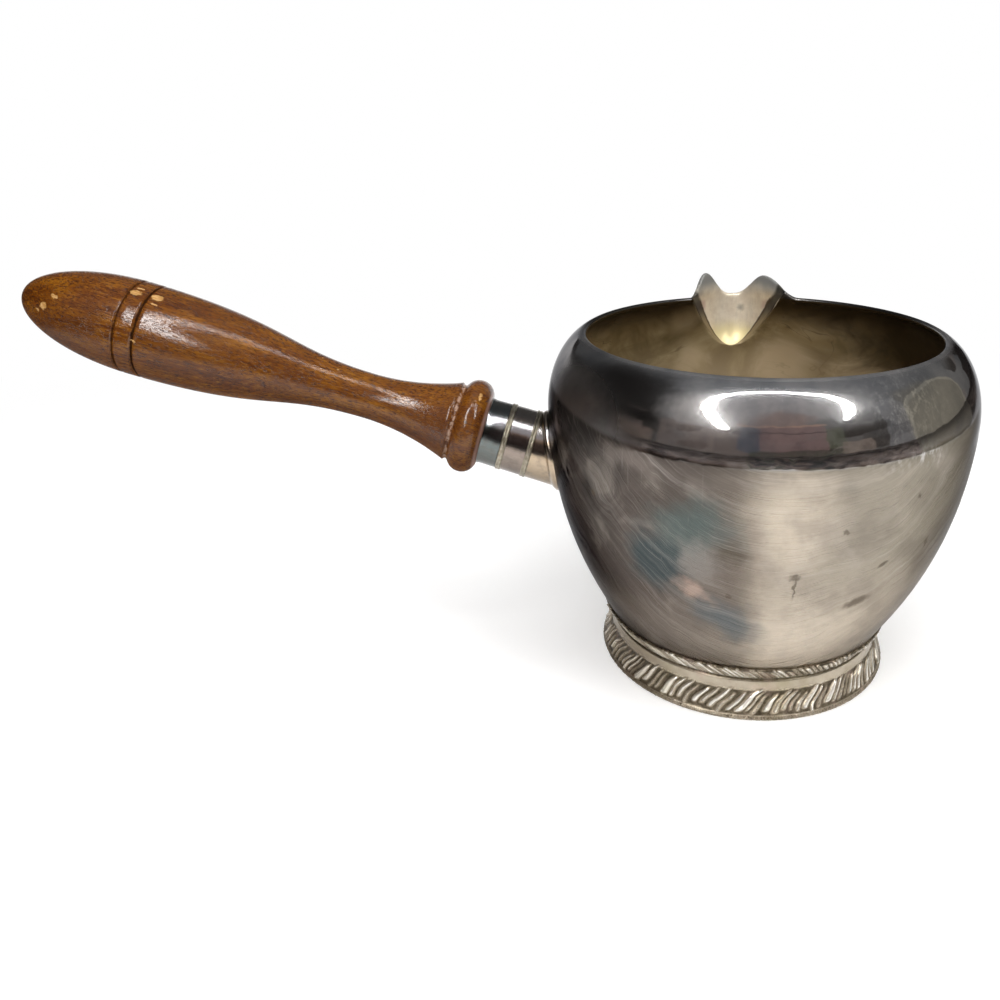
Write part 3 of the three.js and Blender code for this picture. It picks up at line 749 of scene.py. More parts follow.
def varnished_wood():
    """Varnished mahogany: long grain, short dark pores, and chips that show pale wood."""
    material, n = new_material("varnished_wood")
    at = n.place()
    along, over, beside = along_handle(n, at)
    bend = n.streaks((along, over, beside), (0.02, 0.06, 0.06), 3, 0.5)
    bowed = (along, n.sum(over, n.mul(bend, 5.0)), beside)
    figure = n.streaks(bowed, (0.035, 0.3, 0.3), 5, 0.6)
    fine = n.streaks(bowed, (0.3, 2.4, 2.4), 4, 0.7)
    pores = n.span(n.streaks((along, over, beside), (0.85, 4.2, 4.2), 2, 0.5), 0.55, 0.62)
    colour = n.ramp(figure, [
        (0.3, (0.07, 0.017, 0.002)), (0.45, (0.14, 0.04, 0.003)), (0.58, (0.2, 0.067, 0.004)),
        (0.72, (0.29, 0.11, 0.007)),
    ])
    for mask, amount, level in (
        (n.span(fine, 0.5, 0.7), 0.6, (0.34, 0.135, 0.012)),
        (n.span(fine, 0.5, 0.32), 0.8, (0.04, 0.011, 0.002)),
        (pores, 0.8, (0.03, 0.009, 0.003)),
        (n.span(n.noise(at, 0.09, 3, 0.5), 0.45, 0.65), 0.35, (0.1, 0.03, 0.006)),
    ):
        colour = n.tint(colour, level, mask, amount)
    colour = n.mix(0.14, colour, (0.03, 0.009, 0.002))

    # Dirt sits in the two lines and beside the bead
    dirty = 0.0
    for line, width, amount in ((LINE_PLACES[0], 0.25, 0.9), (LINE_PLACES[1], 0.18, 0.75)):
        away = n.wobble(n.away(along, bead_start + line), n.noise(at, 0.8, 3), 0.5)
        dirt = n.span(away, width + 0.15, width - 0.1)
        colour = n.tint(colour, (0.014, 0.006, 0.003), dirt, amount)
        dirty = n.larger(dirty, dirt)
    groove = n.away(along, bead_end + WOOD_GROOVE_WIDTH / 2)
    chalk = n.mul(n.span(groove, 0.6, 0.2), n.span(n.noise(at, 0.9, 3, 0.6), 0.42, 0.56))
    colour = n.tint(colour, (0.55, 0.38, 0.28), chalk, 0.55)
    colour = n.tint(colour, (0.5, 0.3, 0.24), n.span(along, bead_start + 0.9, bead_start + 0.3), 0.6)

    # Chips in the varnish: place along the handle, turn about it from the top towards the front, size
    chips = (
        (146.4, 27.0, 1.35, 0.85), (146.2, 18.0, 0.8, 0.25), (141.9, 25.0, 1.3, 1.05),
        (141.6, 36.0, 0.9, 0.3), (162.8, 60.0, 1.0, 0.45), (164.9, 78.0, 0.85, 0.8),
        (166.2, 88.0, 0.45, 0.4), (143.2, 86.0, 0.7, 0.2), (bead_start + 2.6, 30.0, 0.35, 1.2),
        (104.8, 6.0, 0.3, 0.15), (100.4, 26.0, 0.25, 0.15), (88.0, 4.0, 0.3, 0.15),
        (120.0, 170.0, 1.0, 0.6), (bead_start + 3.5, 200.0, 0.8, 0.6), (150.0, 230.0, 1.2, 0.7),
    )
    bent = n.bent(at, 1.2, 3, 1.4)
    chipped = 0.0
    for distance, degrees, long, short in chips:
        angle = -math.radians(degrees)
        out = math.cos(angle) * OVER + math.sin(angle) * BESIDE
        radius = float(np.interp(distance, wood_outline[:, 1], wood_outline[:, 0]))
        axes = (ALONG / long, np.cross(ALONG, out) / short, out / 4.0)
        mask = n.oval(bent, HANDLE_START + distance * ALONG + radius * out, axes, 1.1, 0.85)
        chipped = n.larger(chipped, mask)
    pale = n.mix(n.span(fine, 0.4, 0.6), (0.36, 0.19, 0.055), (0.55, 0.34, 0.14))
    relief = n.sum(n.mul(pores, -0.6), n.sum(n.mul(fine, 0.25), n.mul(chipped, -1.5)))
    ripple = n.streaks((along, over, beside), (0.9, 2.0, 2.0), 3, 0.65)

    # The varnish is gone on the chips and in the lines, and dull below
    above = n.dot(n.vector("NORMALIZE", n.join(over, beside, 0.0)), (1.0, 0.0, 0.0))
    bare = n.larger(n.larger(n.mul(chipped, 0.8), dirty), n.span(above, 0.3, -0.7, 0.0, 0.75))
    n.principled(
        base_color=n.mix(chipped, colour, pale), metallic=0.0, roughness=0.6, specular_ior_level=0.0,
        normal=n.bump(relief, 0.00012, 0.5), coat_weight=n.span(bare, 0.0, 1.0, 1.0, 0.0),
        coat_roughness=n.span(fine, 0.35, 0.65, 0.05, 0.12), coat_ior=1.5,
        coat_normal=n.bump(n.sum(ripple, n.mul(pores, -0.6)), 0.00009, 0.6),
    )
    return material


# The bowl: one closed sheet with a notch where the lip is

NOTCH_REACH = 1.2
BOWL_COLUMNS = 240
WALL_ROWS = 84
SHOULDER_ROWS = 40
SHOULDER_CROWDING = 1.6
RIM_ROWS = 8
RIM_LIFT_DEPTH = 5.0
BASE_RADII = (0.0, 7.0, 14.0, 19.0)


def notch_half(height):
    return LIP_HALF_WIDTH * np.sqrt(np.clip((height - APEX) / LIP_DEPTH, 0, None))


def add_bowl(outside, inside):
    end = WALL_LENGTH[-1] - SHEET / 2
    apex_length = np.interp(APEX, WALL_POINTS[:, 1], WALL_LENGTH)
    crowded = np.linspace(0, 1, SHOULDER_ROWS)[1:] ** SHOULDER_CROWDING
    lengths = np.concatenate([
        np.linspace(0, apex_length, WALL_ROWS), apex_length + (end - apex_length) * crowded,
    ])
    outer, inner = wall_at(lengths), wall_at(lengths, -SHEET)
    middle, across = (outer[-1] + inner[-1]) / 2, (outer[-1] - inner[-1]) / 2
    ahead = np.array([-across[1], across[0]])
    turn = np.linspace(0, math.pi, RIM_ROWS + 2)[1:-1, None]
    rim = middle + np.cos(turn) * across + np.sin(turn) * ahead
    under, over = ([(radius, height) for radius in BASE_RADII] for height in (outer[0, 1], inner[0, 1]))
    rows = np.concatenate([under, outer, rim, inner[::-1], over[::-1]])

    # The columns part at the notch, and the rim rises beside the lip's ears
    base = np.linspace(-math.pi, math.pi, BOWL_COLUMNS + 1)
    base = np.concatenate([[0.0], base[base > 1e-9], base[base < -1e-9], [0.0]])
    side = np.where(np.arange(len(base)) < len(base) / 2, 1.0, -1.0)
    half = np.where(rows[:, 0] > 1, notch_half(rows[:, 1]), 0)
    open_angle = np.arcsin(np.clip(half / np.maximum(rows[:, 0], 1e-3), 0, 0.9))
    push = np.clip(1 - np.abs(base) / NOTCH_REACH, 0, 1) ** 2
    angle = base[None] + side[None] * open_angle[:, None] * push[None]
    radius = rows[:, :1]
    height = np.broadcast_to(rows[:, 1:], angle.shape)
    rim_angle = angle[len(rows) // 2][None]
    rise = np.where(
        np.cos(rim_angle) > 0, lip_edge_height(RIM_RADIUS * np.sin(rim_angle)) - RIM_HEIGHT, 0,
    )
    height = height + np.clip(rise, 0, None) * step(height, RIM_HEIGHT - RIM_LIFT_DEPTH, RIM_HEIGHT)
    points = np.stack([radius * np.sin(angle), radius * np.cos(angle), height], -1)
    count, columns = angle.shape
    faces = grid_faces(count, columns)
    is_inside = faces[:, 0] // columns >= len(under) + len(outer) + RIM_ROWS // 2
    ends = end_faces(len(under) + WALL_ROWS - 1, count, columns, False)
    face_material = np.concatenate([is_inside.astype(int), np.zeros(len(ends), int)])
    faces = np.concatenate([faces, ends])
    add_piece("bowl_shell", points, faces, [outside, inside], ["bowl"], face_material)


# The lip: a channel whose floor is scooped where it leaves the bowl

LIP_COLUMNS = 61
LIP_ROWS = 34
LIP_EDGE_ROWS = 6
LIP_SETTLING_STEPS = 60
SCOOP = 2.0
SCOOP_HEIGHT = 1.8
LIP_EDGE_THICKNESS = 0.45
LIP_THINNING_POWER = 8
LIP_SINK_HEIGHTS = (70.0, 77.0)
LIP_SINK_SHARES = (1.0, 0.2)


def lip_edge_height(beside):
    """Height of the top edge at a distance beside the lip's middle: a dip between two ears."""
    across = np.abs(beside)
    ear_rise = np.where(beside > 0, RIGHT_EAR_RISE, EAR_RISE)
    ear, dip = RIM_HEIGHT + ear_rise, RIM_HEIGHT - LIP_DIP
    share = np.clip(across / EAR_HALF_WIDTH, 0, 1) ** DIP_FLATNESS
    inner = dip + (ear - dip) * (1 - np.cos(math.pi * share)) / 2
    foot = np.where(beside > 0, RIGHT_EAR_FOOT, LEFT_EAR_FOOT)
    fall = np.clip((across - EAR_HALF_WIDTH) / (foot - EAR_HALF_WIDTH), 0, 1)
    outer = RIM_HEIGHT + ear_rise * (1 + np.cos(math.pi * fall)) / 2
    return np.where(across < EAR_HALF_WIDTH, inner, outer)


def lip_surface(across, height):
    """The channel's inner face, for a share across from -1 to 1 and a height."""
    half = notch_half(height)
    wall = wall_radius(np.minimum(height, RIM_HEIGHT))
    sheet = SHEET * np.interp(height, LIP_SINK_HEIGHTS, LIP_SINK_SHARES)
    side = np.sqrt((wall - sheet) ** 2 - np.minimum(half, LIP_HALF_WIDTH) ** 2)
    up = np.clip(height - APEX, 0, None)
    start = float(wall_radius(APEX)) - SHEET
    reach = BELLY_RADIUS + LIP_OVERHANG
    lean = (reach - start - SCOOP) * up / (LIP_DEPTH - LIP_DIP)
    nose = start + (SCOOP + lean) * (1 - np.exp(-up / SCOOP_HEIGHT))
    return np.stack([half * across, side + (nose - side) * (1 - across ** 2), height], -1)


def add_lip(material):
    across = np.linspace(-1, 1, LIP_COLUMNS)
    top = np.full(LIP_COLUMNS, RIM_HEIGHT)
    for _ in range(LIP_SETTLING_STEPS):
        top = 0.5 * top + 0.5 * lip_edge_height(notch_half(top) * across)
    top = top - LIP_SHEET / 2
    share = np.linspace(0, 1, LIP_ROWS)[:, None]
    low = APEX + 0.02
    height = low + (top - low) * share ** 2
    inner = lip_surface(np.broadcast_to(across, height.shape), height)
    upwards = np.gradient(inner, axis=0)
    normal = np.cross(np.gradient(inner, axis=1), upwards)
    normal /= np.maximum(np.linalg.norm(normal, axis=2), 1e-9)[..., None]
    normal *= np.sign(normal[..., 1:2] + 1e-9)
    normal[0] = normal[1]
    thick = LIP_SHEET + (LIP_EDGE_THICKNESS - LIP_SHEET) * across ** LIP_THINNING_POWER
    outer = inner + normal * thick[None, :, None]
    up = upwards[-1] / np.linalg.norm(upwards[-1], axis=1)[:, None]
    middle, out = (inner[-1] + outer[-1]) / 2, (outer[-1] - inner[-1]) / 2
    turn = np.linspace(0, math.pi, LIP_EDGE_ROWS + 2)[1:-1]
    length = np.linalg.norm(out, axis=1)[:, None]
    edge = np.stack([middle - math.cos(t) * out + math.sin(t) * length * up for t in turn])
    rows = np.concatenate([inner, edge, outer[::-1]])
    count = len(rows)
    last = (count - 1) * LIP_COLUMNS
    bottom = [[k, k + 1, last + k + 1, last + k] for k in range(LIP_COLUMNS - 1)]
    faces = np.concatenate([
        grid_faces(count, LIP_COLUMNS), end_faces(0, count, LIP_COLUMNS, True), np.array(bottom),
    ])
    add_piece(
        "lip_channel", rows, faces, [material], ["pouring_lip"],
        values={"across": np.tile(across, count)},
    )


# The foot: a turned ring with two bands of chased strokes

FOOT_COLUMNS = 1440
STROKES = 116
STROKES_IN_GROUP = 4
STROKE_LEAN = 2.3
STROKE_UNEVENNESS = 0.34
STROKE_DEPTH = 0.62
COLLAR_STROKES = 176
COLLAR_GROUP = 4.5
COLLAR_LEAN = 2.3
COLLAR_UNEVENNESS = 0.4
COLLAR_DEPTH = 0.5
CHASED_FROM, CHASED_TO = 1.4, 6.8
COLLAR_FROM, COLLAR_TO = 9.5, 12.6
STIPPLE_DEPTH = 0.05
SOLDER_RISE = 0.25
EDGE_ROWS, FLARE_ROWS, BAND_ROWS, GROOVE_ROWS, COLLAR_ROWS, SEAT_ROWS = 5, 29, 9, 7, 17, 5

# For each stroke of a group: height, middle, width and upper end
GROUP_SIZE = np.array([1.2, 1.0, 0.85, 0.6])
GROUP_CENTRE = np.array([0.5, 0.5, 0.47, 0.42])
GROUP_WIDTH = np.array([0.47, 0.44, 0.41, 0.34])
GROUP_END = np.array([0.86, 1.0, 0.98, 0.84])


def foot_outline():
    """The ring's outline from its outer edge on the table, up, over the solder at the top and back inside."""
    base, edge_round = FOOT_BASE_RADIUS, FOOT_EDGE_ROUND
    edge = bezier([(base - edge_round, 0), (base, 0), (base, edge_round)], EDGE_ROWS)
    flare = bezier([
        (base, edge_round), (FOOT_FLARE_RADIUS, FOOT_FLARE_HEIGHT), (FOOT_BAND_RADIUS, FOOT_BAND_HEIGHT),
    ], FLARE_ROWS)
    half = FOOT_GROOVE_WIDTH / 2
    low, high = FOOT_GROOVE_HEIGHT - half, FOOT_GROOVE_HEIGHT + half
    band = np.linspace((FOOT_BAND_RADIUS, FOOT_BAND_HEIGHT), (FOOT_NECK_RADIUS, low), BAND_ROWS)
    share = np.linspace(0, 1, GROOVE_ROWS)
    depth = FOOT_GROOVE_DEPTH * np.sin(math.pi * share)
    groove = np.stack([FOOT_NECK_RADIUS - depth, low + FOOT_GROOVE_WIDTH * share], 1)
    collar = np.linspace((FOOT_NECK_RADIUS, high), (FOOT_COLLAR_RADIUS, FOOT_HEIGHT), COLLAR_ROWS)
    solder_height = FOOT_HEIGHT + SOLDER_RISE
    inner = [
        (float(wall_radius(solder_height)) - 0.1, solder_height), (float(wall_radius(9.0)) + SEAM, 9.0),
        (BASE_FLAT_RADIUS + SEAM, BASE_HEIGHT - SEAM), (base - FOOT_WALL, 1.0), (base - FOOT_WALL, 0.0),
    ]
    return np.concatenate([edge[:-1], flare[:-1], band[:-1], groove[:-1], collar, np.array(inner)])


def irregular(turn, count, rng, spread):
    """The number of a stroke round the foot, with its share across, where the widths are uneven."""
    edges = np.concatenate([[0], np.cumsum(rng.uniform(1 - spread, 1 + spread, count))])
    edges *= count / edges[-1]
    spot = np.mod(turn / (2 * math.pi) * count, count)
    number = np.clip(np.searchsorted(edges, spot, side="right") - 1, 0, count - 1)
    return number, (spot - edges[number]) / (edges[number + 1] - edges[number])


def add_foot(material):
    outline = foot_outline()
    rng = np.random.default_rng(7)
    turn = np.linspace(0, 2 * math.pi, FOOT_COLUMNS, endpoint=False)
    radius, height = outline[:, :1], outline[:, 1:]
    outside = (np.arange(len(outline)) < len(outline) - SEAT_ROWS)[:, None]

    # The wide band: leaning strokes in groups, like feathers, with a deep hollow between groups
    share = (height - CHASED_FROM) / (CHASED_TO - CHASED_FROM)
    inside_share = np.clip(share, 0, 1)
    sway = 0.45 * np.sin(3 * turn + 1.0) + 0.3 * np.sin(7 * turn + 2.0)
    swing = inside_share ** 1.4 + 0.05 * np.sin(2 * math.pi * inside_share + 9 * turn)
    lean = (STROKE_LEAN + sway) * swing * 2 * math.pi / STROKES
    stroke, across = irregular(turn[None] - lean, STROKES, rng, STROKE_UNEVENNESS)
    group = stroke % STROKES_IN_GROUP
    size = rng.uniform(0.6, 1.15, STROKES)[stroke] * GROUP_SIZE[group]
    centre = GROUP_CENTRE[group] + rng.uniform(-0.08, 0.08, STROKES)[stroke]
    end_high = GROUP_END[group] + rng.uniform(-0.16, 0.06, STROKES)[stroke]
    end_low = rng.uniform(-0.06, 0.16, STROKES)[stroke]
    taper = np.sqrt(np.clip((end_high + 0.05 - share) / 0.45, 0.02, 1))
    width = GROUP_WIDTH[group] * (0.35 + 0.65 * taper)
    ridge = np.clip(1 - (np.abs(across - centre) / width) ** 2.2, 0, 1)
    crease = 0.16 * np.clip(1 - np.abs(across - centre - 0.16) / 0.07, 0, 1)
    window = step(share, end_low - 0.08, end_low + 0.1) * (1 - step(share, end_high - 0.08, end_high + 0.06))
    chased = np.clip(ridge * size - crease, 0, None) * window
    band_start = step(share, -0.1, 0.05)
    band_mask = band_start * (1 - step(share, 0.8, 0.96))
    band_mask = np.maximum(band_mask, window * (ridge > 0) * band_start)

    # The collar: fine strokes that lean the other way, in small clusters
    share_up = (height - COLLAR_FROM) / (COLLAR_TO - COLLAR_FROM)
    slant = COLLAR_LEAN * np.clip(share_up, 0, 1) * 2 * math.pi / COLLAR_STROKES
    stroke_up, across_up = irregular(turn[None] + slant, COLLAR_STROKES, rng, COLLAR_UNEVENNESS)
    size_up = rng.uniform(0.3, 1.15, COLLAR_STROKES)[stroke_up]
    cluster = 0.5 + 0.5 * np.cos(2 * math.pi * stroke_up / COLLAR_GROUP + 0.8 * np.sin(stroke_up * 0.7))
    ridge_up = np.clip(1 - (np.abs(across_up - 0.5) / 0.4) ** 2, 0, 1) * size_up * (0.55 + 0.45 * cluster)
    reach_up = rng.uniform(0.8, 1.3, COLLAR_STROKES)[stroke_up]
    mask_up = step(share_up, -0.02, 0.1) * (share_up < 1.02)
    chased_up = ridge_up * (1 - step(share_up, reach_up - 0.15, reach_up + 0.05))

    # Stippled edge at the table
    near_table = (1 - step(height, 0.6, 1.5)) * (height > 0.02)
    stipple = rng.normal(0, STIPPLE_DEPTH, (len(outline), FOOT_COLUMNS)) * near_table
    out = STROKE_DEPTH * (chased - 0.35) * band_mask + COLLAR_DEPTH * (chased_up - 0.22) * mask_up + stipple
    spread = np.maximum(radius + np.where(outside, out, 0), 5.0)
    # The level that the foot's material turns into colour: high on the crests for a painted highlight, low in
    # the hollows and the groove for tarnish and painted shade
    level = np.full(spread.shape, 0.5)
    in_groove = np.abs(height - FOOT_GROOVE_HEIGHT) < FOOT_GROOVE_WIDTH * 0.45
    for mask, value in (
        (band_mask > 0.3, 0.1 + 0.85 * chased),
        (mask_up > 0.3, 0.26 + 1.1 * chased_up - 0.24 * (chased_up < 0.06)),
        (height > FOOT_HEIGHT + 0.01, 0.2),
        ((height < 1.1) & outside, 0.34 + 3.0 * stipple),
        (in_groove & outside, 0.12),
    ):
        level = np.where(mask, value, level)
    points = np.stack(np.broadcast_arrays(spread * np.sin(turn), -spread * np.cos(turn), height), -1)
    add_piece(
        "chased_foot", points, grid_faces(len(outline), FOOT_COLUMNS, True, True), [material],
        ["foot_ring"], values={"relief": np.clip(level, 0, 1).reshape(-1)},
    )


# The handle's frame

HANDLE_COLUMNS = 96
PLATE_ROWS = 16
SOCKET_ROWS = 14
WIRE_ROWS = 9
BEAD_ROWS, NECK_ROWS, SWELL_ROWS, BUTT_ROWS, LINE_ROWS = 22, 22, 90, 46, 9
WOOD_GROOVE_ROWS = 8
WALL_SEARCH_START, WALL_SEARCH_END, WALL_SEARCH_STEPS = 25.0, 70.0, 40
SOLDER_OVERLAP = 0.3
PLATE_EDGE_DROP = 0.5
PLATE_EDGE_FROM = 0.6
FLANGE_STAND = 0.12
TURNS = np.linspace(0, 2 * math.pi, HANDLE_COLUMNS, endpoint=False)


def handle_point(radius, distance, turn):
    """Points about the handle's axis. The turn is zero at the top and grows towards the back."""
    radius, distance, turn = (np.asarray(v, float)[..., None] for v in (radius, distance, turn))
    return HANDLE_START + distance * ALONG + radius * (np.cos(turn) * OVER + np.sin(turn) * BESIDE)


def wall_meet(radius, turn, outward):
    """How far along the handle a line beside its axis leaves the bowl grown by a distance."""
    low = np.full(np.broadcast(radius, turn).shape, WALL_SEARCH_START)
    high = np.full_like(low, WALL_SEARCH_END)
    for _ in range(WALL_SEARCH_STEPS):
        middle = (low + high) / 2
        point = handle_point(radius, middle, turn)
        inside = np.hypot(point[..., 0], point[..., 1]) < wall_radius(point[..., 2], outward)
        low, high = np.where(inside, middle, low), np.where(inside, high, middle)
    return low


ring_radius = SOCKET_RADIUS + RING_STAND
plate_radii = ring_radius * np.array([1, 0.5, 0, 0.5, 1])
plate_turns = np.array([math.pi, math.pi, 0, 0, 0])
plate_face = float(np.max(wall_meet(plate_radii, plate_turns, SEAM + PLATE_THICKNESS)))
front_ring = plate_face + FRONT_RING_GAP + RING_WIDTH / 2
rear_ring = front_ring + RING_SPACING
ferrule_start = rear_ring + RING_WIDTH / 2 + SEAM
ferrule_end = ferrule_start + FERRULE_LENGTH
bead_start = ferrule_end + SEAM
waist_at = bead_start + WAIST_PLACE
swell_at = bead_start + SWELL_PLACE


def socket_radius(distance):
    return SOCKET_RADIUS - SOCKET_TAPER * (distance - plate_face)


ferrule_bore = socket_radius(ferrule_start) - FERRULE_WALL


def add_tube(name, rows, material, replaces, sharp=None):
    """A silver piece from rows of points about the handle's axis, where the last row meets the first."""
    faces = grid_faces(len(rows), HANDLE_COLUMNS, True, True)
    add_piece(name, rows, faces, [material], replaces, sharp=sharp)


def turned_points(outline):
    """Points of a turned piece from rows of radius and distance."""
    outline = np.asarray(outline, float)
    return handle_point(outline[:, :1], outline[:, 1:], TURNS[None])


def add_wall_plate(material):
    """The plate on the belly: an oval that follows the wall, with a fillet up to the socket."""
    turn = TURNS[None]
    rim = 1 / np.sqrt((np.cos(turn) / PLATE_HALF_HEIGHT) ** 2 + (np.sin(turn) / PLATE_HALF_WIDTH) ** 2)
    start = SOCKET_RADIUS - 0.25
    share = np.linspace(0, 1, PLATE_ROWS)[:, None]
    spread = start + (rim - start) * share
    fillet = PLATE_FILLET * (1 - share) ** 2
    edge = PLATE_EDGE_DROP * step_share(share, PLATE_EDGE_FROM, 1) ** 2
    top = wall_meet(spread, turn, SEAM + PLATE_THICKNESS) + fillet - edge
    low = wall_meet(spread, turn, 0.05)
    rows = np.concatenate([handle_point(spread, top, turn), handle_point(spread, low, turn)[::-1]])
    add_tube("wall_plate", rows, material, ["socket_wall_plate"], 60)


def add_socket(material):
    turn = TURNS[None]
    end = rear_ring - RING_WIDTH / 2
    begin = wall_meet(SOCKET_RADIUS, turn, SEAM + PLATE_THICKNESS) - 0.2
    distance = begin + (end - begin) * np.linspace(0, 1, SOCKET_ROWS)[:, None]
    outer = handle_point(socket_radius(distance), distance, turn)
    inner = handle_point(SOCKET_RADIUS - SOCKET_WALL, distance, turn)
    add_tube("socket_tube", np.concatenate([outer, inner[::-1]]), material, ["handle_socket"], 40)


def add_double_ring(name, distance, material, replaces):
    """Two round wires side by side on the socket, with solder in the gap between them."""
    wire = RING_WIDTH / 4
    seat = socket_radius(distance) - SOLDER_OVERLAP
    stand = socket_radius(distance) + RING_STAND - wire
    outline = [(seat, distance - RING_WIDTH / 2)]
    for offset, start, end in ((-wire, -90, 50), (wire, -50, 90)):
        for angle in np.radians(np.linspace(start, end, WIRE_ROWS)):
            outline.append((stand + wire * math.cos(angle), distance + offset + wire * math.sin(angle)))
    outline.append((seat, distance + RING_WIDTH / 2))
    add_tube(name, turned_points(outline), material, replaces)


def add_ferrule(material):
    radius, end = socket_radius(ferrule_start), socket_radius(ferrule_end)
    flange = end + FLANGE_STAND
    outline = [
        (ferrule_bore, ferrule_start - 0.25), (radius, ferrule_start - 0.25), (radius, ferrule_start + 0.1),
        (end, ferrule_end - 0.35), (flange, ferrule_end - 0.15), (flange, ferrule_end + 0.2),
        (ferrule_bore, ferrule_end + 0.2),
    ]
    add_tube("ferrule_sleeve", turned_points(outline), material, ["handle_ferrule"], 40)


def wood_profile():
    """Rows of radius and distance of the wood's outside, from the bead to the butt, and the bead's end."""
    turn = np.radians(np.linspace(-90, BEAD_END_ANGLE, BEAD_ROWS))
    centre = (BEAD_RADIUS - BEAD_ROUND, bead_start + BEAD_ROUND)
    bead = np.stack([centre[0] + BEAD_ROUND * np.cos(turn), centre[1] + BEAD_ROUND * np.sin(turn)], 1)
    end = bead[-1]
    share = np.linspace(0, 1, WOOD_GROOVE_ROWS)[1:-1]
    groove_radius = end[0] + (COLLAR_RADIUS - end[0]) * share - WOOD_GROOVE_DEPTH * np.sin(math.pi * share)
    groove = np.stack([groove_radius, end[1] + WOOD_GROOVE_WIDTH * share], 1)
    collar_at = end[1] + WOOD_GROOVE_WIDTH
    neck = bezier([
        (COLLAR_RADIUS, collar_at), (WAIST_RADIUS, (collar_at + waist_at) / 2), (WAIST_RADIUS, waist_at),
    ], NECK_ROWS)
    swell = bezier([
        (WAIST_RADIUS, waist_at), (WAIST_RADIUS, waist_at + WAIST_PULL),
        (SWELL_RADIUS, swell_at - SWELL_PULL), (SWELL_RADIUS, swell_at),
    ], SWELL_ROWS)[1:]
    turn = np.linspace(0, math.pi / 2, BUTT_ROWS)[1:]
    butt = np.stack([SWELL_RADIUS * np.cos(turn), swell_at + BUTT_LENGTH * np.sin(turn)], 1)
    outline = np.concatenate([bead, groove, neck, swell, butt])
    offsets = np.linspace(-0.6, 0.6, LINE_ROWS)
    extra = [bead_start + line + offset for line in LINE_PLACES for offset in offsets]
    rows = np.concatenate([outline, np.stack([np.interp(extra, outline[:, 1], outline[:, 0]), extra], 1)])
    rows = rows[np.argsort(rows[:, 1], kind="stable")]
    for line, depth in zip(LINE_PLACES, (LINE_DEPTH, 0.75 * LINE_DEPTH)):
        away = np.abs(rows[:, 1] - bead_start - line) / (LINE_WIDTH / 2)
        rows[:, 0] -= depth * np.clip(1 - away ** 2, 0, 1)
    return rows, end[1]


wood_outline, bead_end = wood_profile()


def add_wood(material):
    start = ferrule_start - STEM_LENGTH
    bore = ferrule_bore - SEAM
    outline = np.concatenate([[(STUD_RADIUS + SEAM, start), (bore, start), (bore, bead_start)], wood_outline])
    outline[-1, 0] = 0.0
    points = np.concatenate([turned_points(outline).reshape(-1, 3), handle_point([0.0], [start], [0.0])])
    faces = grid_faces(len(outline), HANDLE_COLUMNS, False, True)
    hub = len(points) - 1
    caps = [[j, (j + 1) % HANDLE_COLUMNS, hub] for j in range(HANDLE_COLUMNS)]
    add_piece("turned_wood", points, list(faces) + caps, [material], ["wood_handle"])


# Stage and light

FLOOR_HALF_WIDTH = 3400.0
FLOOR_FRONT = -3000.0
FLOOR_BACK = 2600.0
FLOOR_BEND = 400.0
BACKDROP_TOP = 620.0
RING_CENTRE = (30.0, -320.0, 345.0)
RING_AIM = (0.0, -42.0, 74.0)
RING_RADIUS = 250.0
RING_SIDE_BREADTH = 54.0
RING_TOP_BREADTH = 22.0
RING_ENDS = (-124.0, 106.0)
RING_COLUMNS = 49
RING_STRENGTH = 24.0

# Soft light and dark in the room: azimuth, elevation, inner and outer reach in degrees, colour, amount
ROOM_GLOWS = (
    (-92, 20, 22, 46, (0.008, 0.007, 0.006), 0.95), (-112, 42, 12, 34, (0.012, 0.011, 0.011), 0.9),
    (-36, 34, 10, 30, (0.36, 0.34, 0.33), 0.75), (0, 52, 10, 34, (0.36, 0.34, 0.34), 0.8),
    (5, 30, 6, 20, (0.24, 0.17, 0.15), 0.8), (-20, 5, 8, 26, (0.14, 0.11, 0.1), 0.7),
    (92, 18, 10, 26, (0.2, 0.18, 0.14), 0.8), (150, 5, 20, 50, (0.25, 0.25, 0.245), 0.7),
    (-160, 14, 14, 40, (0.12, 0.125, 0.13), 0.8),
)

# Furniture in the room: azimuth, elevation, half width and half height in degrees, colour, amount
ROOM_BLOCKS = (
    (-42, 10, 15, 12, (0.2, 0.16, 0.145), 0.6), (11, 13, 17, 14, (0.2, 0.135, 0.132), 0.9),
    (-10, 14, 5.5, 11.5, (0.075, 0.085, 0.11), 0.9), (14, 1.5, 24, 2.5, (0.045, 0.05, 0.035), 0.8),
    (33, 14, 5, 9, (0.12, 0.13, 0.09), 0.7), (44, 4, 8, 5, (0.25, 0.2, 0.17), 0.7),
    (70, 18, 9, 20, (0.28, 0.28, 0.29), 0.5), (-72, 4, 12, 5, (0.25, 0.19, 0.16), 0.6),
)


def add_stage(name, points, material):
    """Makes a sheet of the stage from a grid of points."""
    mesh = bpy.data.meshes.new(name)
    mesh.from_pydata(place(points).reshape(-1, 3).tolist(), [], grid_faces(*points.shape[:2]).tolist())
    mesh.polygons.foreach_set("use_smooth", np.ones(len(mesh.polygons), bool))
    mesh.materials.append(material)
    sheet = bpy.data.objects.new(name, mesh)
    bpy.context.collection.objects.link(sheet)
    return sheet


